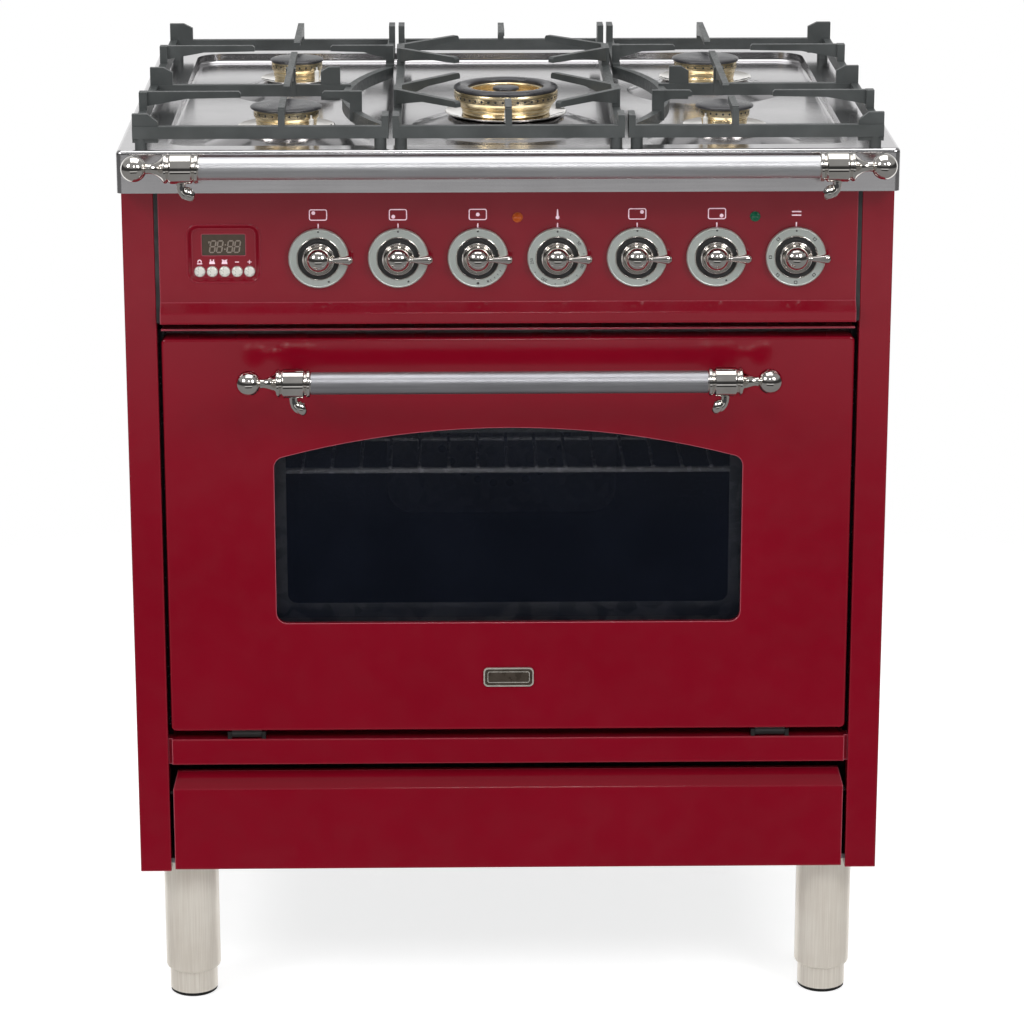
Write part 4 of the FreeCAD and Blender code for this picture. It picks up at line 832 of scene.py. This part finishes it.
def bracket_arm(solid, start, ball):
    """Socket barrel, trumpet neck and ball, along the bar from its start."""
    socket = [(-1.0, 10.9), (0.0, 11.2), (0.0, 13.2), (0.8, 14.0), (3.2, 14.0), (4.1, 13.2), (4.5, 12.4),
              (5.2, 12.4), (5.6, 13.2), (7.0, BARREL_R)]
    barrel = [(7.0, BARREL_R), (26.6, BARREL_R), (28.4, 13.2), (28.8, 12.6), (29.6, 12.6), (30.0, 13.4),
              (30.6, 14.1), (32.8, 14.1), (33.6, 13.2)]
    trumpet = [(33.6, 13.2), (36.5, 9.6), (40.0, 6.6), (44.0, 5.0), (48.0, 4.5), (ball - NECK, 4.7)]
    knob_end = [trumpet[-1]] + arc(ball, BALL_R, -66.0, 90.0, 26)
    for profile in (eased(socket, 0.4), eased(barrel, 0.5), eased(trumpet, 2.5), knob_end):
        solid.lathe(profile, start, RIGHT, 0, 72)


def bracket_stem(solid, start, reach):
    """Stem and flange to the wall behind the bar."""
    stem = [(5.0, 5.5), (reach - 12.0, 5.0), (reach - 5.5, 6.2), (reach - 4.2, 8.6), (reach - 0.8, 9.0),
            (reach, 8.4), (reach, 0.0)]
    solid.lathe(eased(stem, 0.8), start + Vector((STEM_X, 0, -STEM_DROP)), -OUT, 0, 48)


def set_lug(solid, start):
    """Curled lug under the barrel, with a dark plate of painted shade for its set hole."""
    path = [(16.6, -12.0), (16.9, -15.5), (16.6, -19.0), (15.4, -22.6), (13.2, -25.6), (10.6, -27.4)]
    radii = (5.0, 4.5, 4.4, 4.5, 4.6, 4.2)
    solid.sweep([start + Vector((x, 0, z)) for x, z in path], radii, 0, 24, 0.85)
    club = [(a * 1.28, r) for a, r in arc(0.0, 5.9, -90.0, 90.0, 18)]
    solid.lathe(club, start + Vector((9.4, 0, -25.0)), (0.17, 0, 0.985), 0, 36)
    set_hole_shade = [(x * 0.8, z * 1.25) for x, z in disc(2.1, 20)]
    # dark plate painted as the shade inside the set hole
    solid.plate(set_hole_shade, (start.x + 16.3, start.z - 18.3), start.y - 4.05, start.y - 2.0, 1)


def brackets(name, node, bar, body, x_in, ball_x, wall):
    """Pair of chrome brackets that hold a bar in front of a wall."""
    low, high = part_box(bar)
    start = Vector((x_in, (low.y + high.y) / 2 / MM, (low.z + high.z) / 2 / MM))
    solid = Solid()
    bracket_arm(solid, start, ball_x - x_in)
    bracket_stem(solid, start, wall - start.y)
    set_lug(solid, start)
    solid.mirror()
    solid.piece(name, body, (chrome, ink_and_painted_shade), (node,), crease=40.0)


brackets("rail_brackets", "rail_posts", "rail_tube", "cabinet", 299.0, 361.0, EDGE)
brackets("handle_brackets", "door_handle_posts", "door_handle_bar", "oven_door", 195.0, 255.5, FRONT)


# --- burners -------------------------------------------------------------------------------
def hob_point(x, depth):
    """Point on the worktop."""
    return Vector((x, EDGE + depth, TOP))


WOK = hob_point(0.0, WOK_DEPTH)


def burner_skirts():
    """Dished chrome skirts with a rolled rim, over the cups that go through the worktop."""
    solid = Solid()
    places = [(hob_point(x, depth), skirt) for x, depth, cap, ring, skirt in BURNERS.values()]
    for place, skirt in (*places, (WOK, WOK_SKIRT_R)):
        under = [(-30.0, 0.0), (-30.0, 23.5), (2.0, 23.5), (2.0, skirt - 9.0), (3.6, skirt - 3.0),
                 (4.9, skirt - 0.6)]
        dish = [(4.9, skirt - 0.6), (5.6, skirt), (6.2, skirt - 0.6), (5.4, skirt - 3.0), (4.4, skirt - 9.0),
                (4.0, skirt - 14.0), (4.0, 0.0)]
        solid.lathe(eased(under, 0.8), place, UP, 0, 96)
        solid.lathe(eased(dish, 1.2), place, UP, 0, 96)
    solid.piece("burner_skirts", "cabinet", (chrome,), ("burner_cups",))


def burner_tops():
    """Pressed caps of the four small burners, and the ring and middle caps of the wok burner."""
    solid = Solid()
    for x, depth, cap, ring, skirt in BURNERS.values():
        profile = [(23.0, 0.0), (23.0, cap - 1.6), (23.6, cap - 0.5), (24.8, cap), (25.7, cap - 0.5),
                   (26.4, cap - 2.0), (27.0, cap - 6.0), (27.5, cap * 0.5), (27.6, 0.0)]
        solid.lathe(eased(profile, 1.0), hob_point(x, depth), UP, 0, 96)
    rim = [(28.0, 38.2), (28.0, 51.6), (28.7, 52.7), (30.0, 53.0), (31.3, 52.2), (32.2, 49.5), (32.5, 46.0),
           (32.3, 42.0), (31.6, 39.2), (30.4, 38.2), (28.0, 38.2)]
    solid.lathe(eased(rim, 0.8), WOK, UP, 0, 120)
    middle = [(27.0, 0.0), (27.0, 12.9), (27.6, 13.5), (28.9, 13.5), (30.0, 12.6), (30.6, 9.0), (30.8, 0.0)]
    solid.lathe(eased(middle, 0.6), WOK, UP, 0, 64)
    solid.piece("burner_tops", "cabinet", (cap_enamel,), ("burner_caps",))


def port_shade_row(solid, centre, radius, count, height, port_r):
    """Row of gas ports round a ring, as dark plugs of painted shade in the holes."""
    for i in range(count):
        angle = 2 * math.pi * (i + 0.5) / count
        out = Vector((math.cos(angle), math.sin(angle), 0))
        side = out.cross(UP)
        mouth = [centre + UP * (height + z) + side * x for x, z in disc(port_r, 10)]
        # dark plugs: painted shade inside the ports
        solid.slab([point + out * (radius + 0.08) for point in mouth],
                   [point + out * (radius - 0.6) for point in mouth], 1)


def flame_rings():
    """Turned brass rings with their ports; the wok's is a wide crown round a small inner burner."""
    solid = Solid()
    for x, depth, cap, ring, skirt in BURNERS.values():
        wall = [(4.0, ring - 9.0), (4.0, ring - 3.4), (7.4, ring - 2.4), (8.0, ring - 3.2), (8.6, ring - 2.2),
                (12.0, ring - 1.8), (12.6, ring - 2.6), (13.2, ring - 1.6), (16.0, ring), (23.0, ring),
                (23.0, ring - 6.0)]
        solid.lathe(eased(wall, 0.4), hob_point(x, depth), UP, 0, 96)
        port_shade_row(solid, hob_point(x, depth), ring, 24, 19.4, 1.1)
    crown = [(4.0, 0.0), (4.0, 43.0), (5.0, 44.6), (7.6, 44.9), (8.2, 43.9), (8.8, 45.6), (11.4, 46.9),
             (12.0, 46.0), (12.6, 47.8), (15.0, 49.6), (17.0, 51.2), (19.0, 52.4), (25.0, 52.8), (28.0, 52.2),
             (28.0, 37.0), (27.0, 36.0), (10.0, 36.0), (8.0, 34.0), (7.5, 14.0), (8.6, 12.4), (26.0, 12.0),
             (27.0, 11.4), (27.0, 0.0)]
    solid.lathe(eased(crown, 0.5), WOK, UP, 0, 128)
    port_shade_row(solid, WOK, 52.6, 44, 22.4, 1.35)
    port_shade_row(solid, WOK, 12.1, 12, 22.0, 0.8)
    solid.piece("burner_rings", "cabinet", (brass, ink_and_painted_shade), ("flame_rings", "wok_flame_ring"))


burner_skirts()
burner_tops()
flame_rings()


# --- badge, screws and gap strips ----------------------------------------------------------
SCREW_PITCH = 160
SCREW_LOW, SCREW_HIGH = 190, 830


def badge_inlay():
    """Plain dark inlay with a fine border line, in the badge's pocket."""
    low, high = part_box("door_badge")
    middle = ((low.x + high.x) / 2 / MM, (low.z + high.z) / 2 / MM)
    front = low.y / MM
    solid = Solid()
    solid.plate(rounded(47.8, 16.8, 3.2), middle, front + 0.45, front + 0.75)
    solid.frame(rounded(43.0, 12.0, 2.2), rounded(41.6, 10.6, 1.7), middle, front + 0.38, front + 0.5, 1)
    solid.piece("badge_inlay", "oven_door", (bronze, badge_rim))


def screws():
    """Pan-head screws along the rear flanges of the sides and over the back sheet."""
    solid = Solid()
    head = [(0.0, 4.4), (1.0, 4.2), (1.9, 3.2), (2.3, 1.7), (1.4, 1.5), (1.2, 0.0)]
    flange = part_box("side_panel_left")[1].y / MM
    sheet = BACK - GLAND_BOSS
    places = [(side * (SIDE_X - 10.0), flange - 2.3, z)
              for z in range(SCREW_LOW, SCREW_HIGH + 1, SCREW_PITCH) for side in (-1, 1)]
    places += [(x, sheet, z) for x in (-300.0, -100.0, 100.0, 300.0) for z in (175.0, 395.0, 570.0, 850.0)]
    for place in places:
        solid.lathe(eased(head, 0.4), place, -OUT, 0, 24)
    solid.piece("back_screws", "cabinet", (wire,))


def gap_shade_strips():
    """Black strips between the fascia and the side stiles: painted shade in the gaps."""
    solid = Solid()
    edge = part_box("door_panel")[1].x / MM
    gap = SIDE_X - STILE_W - edge
    low, high = (corner.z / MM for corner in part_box("control_panel"))
    strip = rounded(gap, high - low, 0.6, 2)
    # black strips standing in for the shade in the gaps
    solid.plate(strip, (edge + gap / 2, (low + high) / 2), FRONT - 0.15, FRONT + 0.8)
    solid.mirror()
    solid.piece("fascia_gap_shade_strips", "cabinet", (ink_and_painted_shade,))


badge_inlay()
screws()
gap_shade_strips()


# --- studio --------------------------------------------------------------------------------
FLOOR_R = 1.62
FLOOR_Z = -0.0005
WALL_R = 5.2
WALL_Z = (-4.0, 6.0)
WALL_TURN = 125                 # the wall goes round the front, this many degrees to each side
AHEAD = ((-2.00, 0.22), (-1.84, 0.02), (-0.95, 0.02), (-0.70, 0.20), (-0.50, 0.50), (-0.31, 0.80),
         (-0.10, 0.60), (0.25, 0.03), (1.70, 0.03), (2.60, 0.28))      # height on the wall, brightness
ASIDE = ((-0.70, 0.22), (-0.10, 0.20), (0.25, 0.03), (1.70, 0.03), (2.60, 0.28))
WALL_LEVELS = (-2.0, 3.0)       # heights between which its brightness changes
WALL_SPLIT = (2.0, 3.2)         # distances from the middle between which AHEAD gives way to ASIDE
CAMERA_AT = (-0.060, -3.855, 1.587)
CAMERA_PITCH, CAMERA_YAW = -16.26, -1.01
SENSOR, LENS = 36.0, 131.0


def studio_look(name):
    return Look(name, roughness=1.0, specular_ior_level=0.0)


def stage_mesh(name, corners, faces, look):
    """Piece of the studio, in metres."""
    mesh = bpy.data.meshes.new(name)
    mesh.from_pydata(corners, [], faces)
    mesh.materials.append(look.material)
    made = bpy.data.objects.new(name, mesh)
    bpy.context.scene.collection.objects.link(made)
    return made


def floor():
    """Pale round floor, softly lit from within, that fades into the white surround."""
    look = studio_look("pale_floor")
    reach = look.add("VectorMath", {"operation": "LENGTH"})
    connect(look.tree, reach.inputs[0], look.coords)
    fade = look.spread(reach.outputs["Value"], 1.0, 0.0, 0.9, 1.6)
    grain = look.noise(30.0, 3.0)
    look.set(base_color=look.tint(grain, (0.3, (0.62, 0.62, 0.62)), (0.7, (0.66, 0.66, 0.66))), alpha=fade,
             emission_color=(1, 1, 1, 1), emission_strength=0.68)
    corners = [(x, y, FLOOR_Z) for x, y in disc(FLOOR_R, 96)]
    made = stage_mesh("floor", corners, [list(range(len(corners)))], look)
    made.visible_glossy = False


def studio_wall():
    """Dark studio round the front, which only polished parts see: pale low down and overhead."""
    look = studio_look("studio_wall")
    split = look.add("SeparateXYZ", Vector=look.coords)
    lowest, highest = WALL_LEVELS
    level = look.spread(split.outputs["Z"], 0.0, 1.0, lowest, highest)
    ahead, aside = (look.tint(level, *(((z - lowest) / (highest - lowest), (b, b, b)) for z, b in stops))
                    for stops in (AHEAD, ASIDE))
    reach = look.add("Math", {"operation": "ABSOLUTE"})
    connect(look.tree, reach.inputs[0], split.outputs["X"])
    glow = look.blend(look.spread(reach.outputs[0], 0.0, 1.0, *WALL_SPLIT), ahead, aside)
    look.set(base_color=(0.01, 0.01, 0.01), emission_color=glow, emission_strength=1.0)
    angles = [math.radians(a) for a in range(-WALL_TURN, WALL_TURN + 1, 5)]
    low, high = ([(WALL_R * math.sin(a), -WALL_R * math.cos(a), z) for a in angles] for z in WALL_Z)
    count = len(angles)
    faces = [[i, i + 1, count + i + 1, count + i] for i in range(count - 1)]
    faces += [list(range(count, 2 * count)), list(range(count))[::-1]]
    made = stage_mesh("studio_wall", low + high, faces, look)
    made.visible_camera = False
    made.visible_diffuse = False
    made.visible_shadow = False


def surround():
    """White surround that dims overhead."""
    world = bpy.data.worlds.new("studio")
    world.use_nodes = True
    bpy.context.scene.world = world
    tree = world.node_tree
    coords = tree.nodes.new("ShaderNodeTexCoord")
    split = tree.nodes.new("ShaderNodeSeparateXYZ")
    fade = tree.nodes.new("ShaderNodeMapRange")
    fade.interpolation_type = "SMOOTHSTEP"
    for name, value in (("From Min", 0.10), ("From Max", 0.40), ("To Min", 1.0), ("To Max", 0.45)):
        fade.inputs[name].default_value = value
    back = tree.nodes["Background"]
    back.inputs["Color"].default_value = (1.0, 1.0, 1.0, 1.0)
    tree.links.new(coords.outputs["Generated"], split.inputs[0])
    tree.links.new(split.outputs["Z"], fade.inputs["Value"])
    tree.links.new(fade.outputs[0], back.inputs["Strength"])


def softbox(name, azimuth, elevation, distance, size, radiance, shape="DISK", aim=(0.0, -0.25, 0.65),
            mirrored=True):
    """Area light aimed at the range; azimuth is from the front, to the right.

    Chrome and enamel see it only if it is mirrored.
    """
    light = bpy.data.lights.new(name, "AREA")
    light.shape = shape
    light.size = size
    area = size * size * (math.pi / 4 if shape == "DISK" else 1.0)
    light.energy = 4.0 * area * radiance
    made = bpy.data.objects.new(name, light)
    a, e = math.radians(azimuth), math.radians(elevation)
    away = Vector((math.sin(a) * math.cos(e), -math.cos(a) * math.cos(e), math.sin(e)))
    made.location = Vector(aim) + away * distance
    made.rotation_euler = away.to_track_quat("Z", "Y").to_euler()
    made.visible_glossy = mirrored
    bpy.context.scene.collection.objects.link(made)


def camera():
    """Long lens from over the top, at the photo's angle."""
    lens = bpy.data.cameras.new("camera")
    lens.sensor_width = SENSOR
    lens.lens = LENS
    made = bpy.data.objects.new("camera", lens)
    made.location = CAMERA_AT
    made.rotation_euler = (math.radians(90.0 + CAMERA_PITCH), 0.0, math.radians(CAMERA_YAW))
    bpy.context.scene.collection.objects.link(made)
    bpy.context.scene.camera = made


floor()
studio_wall()
surround()
softbox("left_softbox", -54.0, 34.0, 3.0, 1.0, 8.0)
softbox("right_softbox", 42.0, 33.0, 3.0, 1.0, 8.0)
softbox("middle_softbox", 2.0, 36.0, 3.2, 0.5, 10.0)
softbox("top_softbox", 0.0, 90.0, 2.6, 2.4, 1.9, "SQUARE", (0.0, 0.1, 0.7))
softbox("oven_fill", 0.0, 11.0, 3.4, 0.8, 3.0, mirrored=False)
camera()
bpy.context.scene.view_settings.view_transform = "Standard"
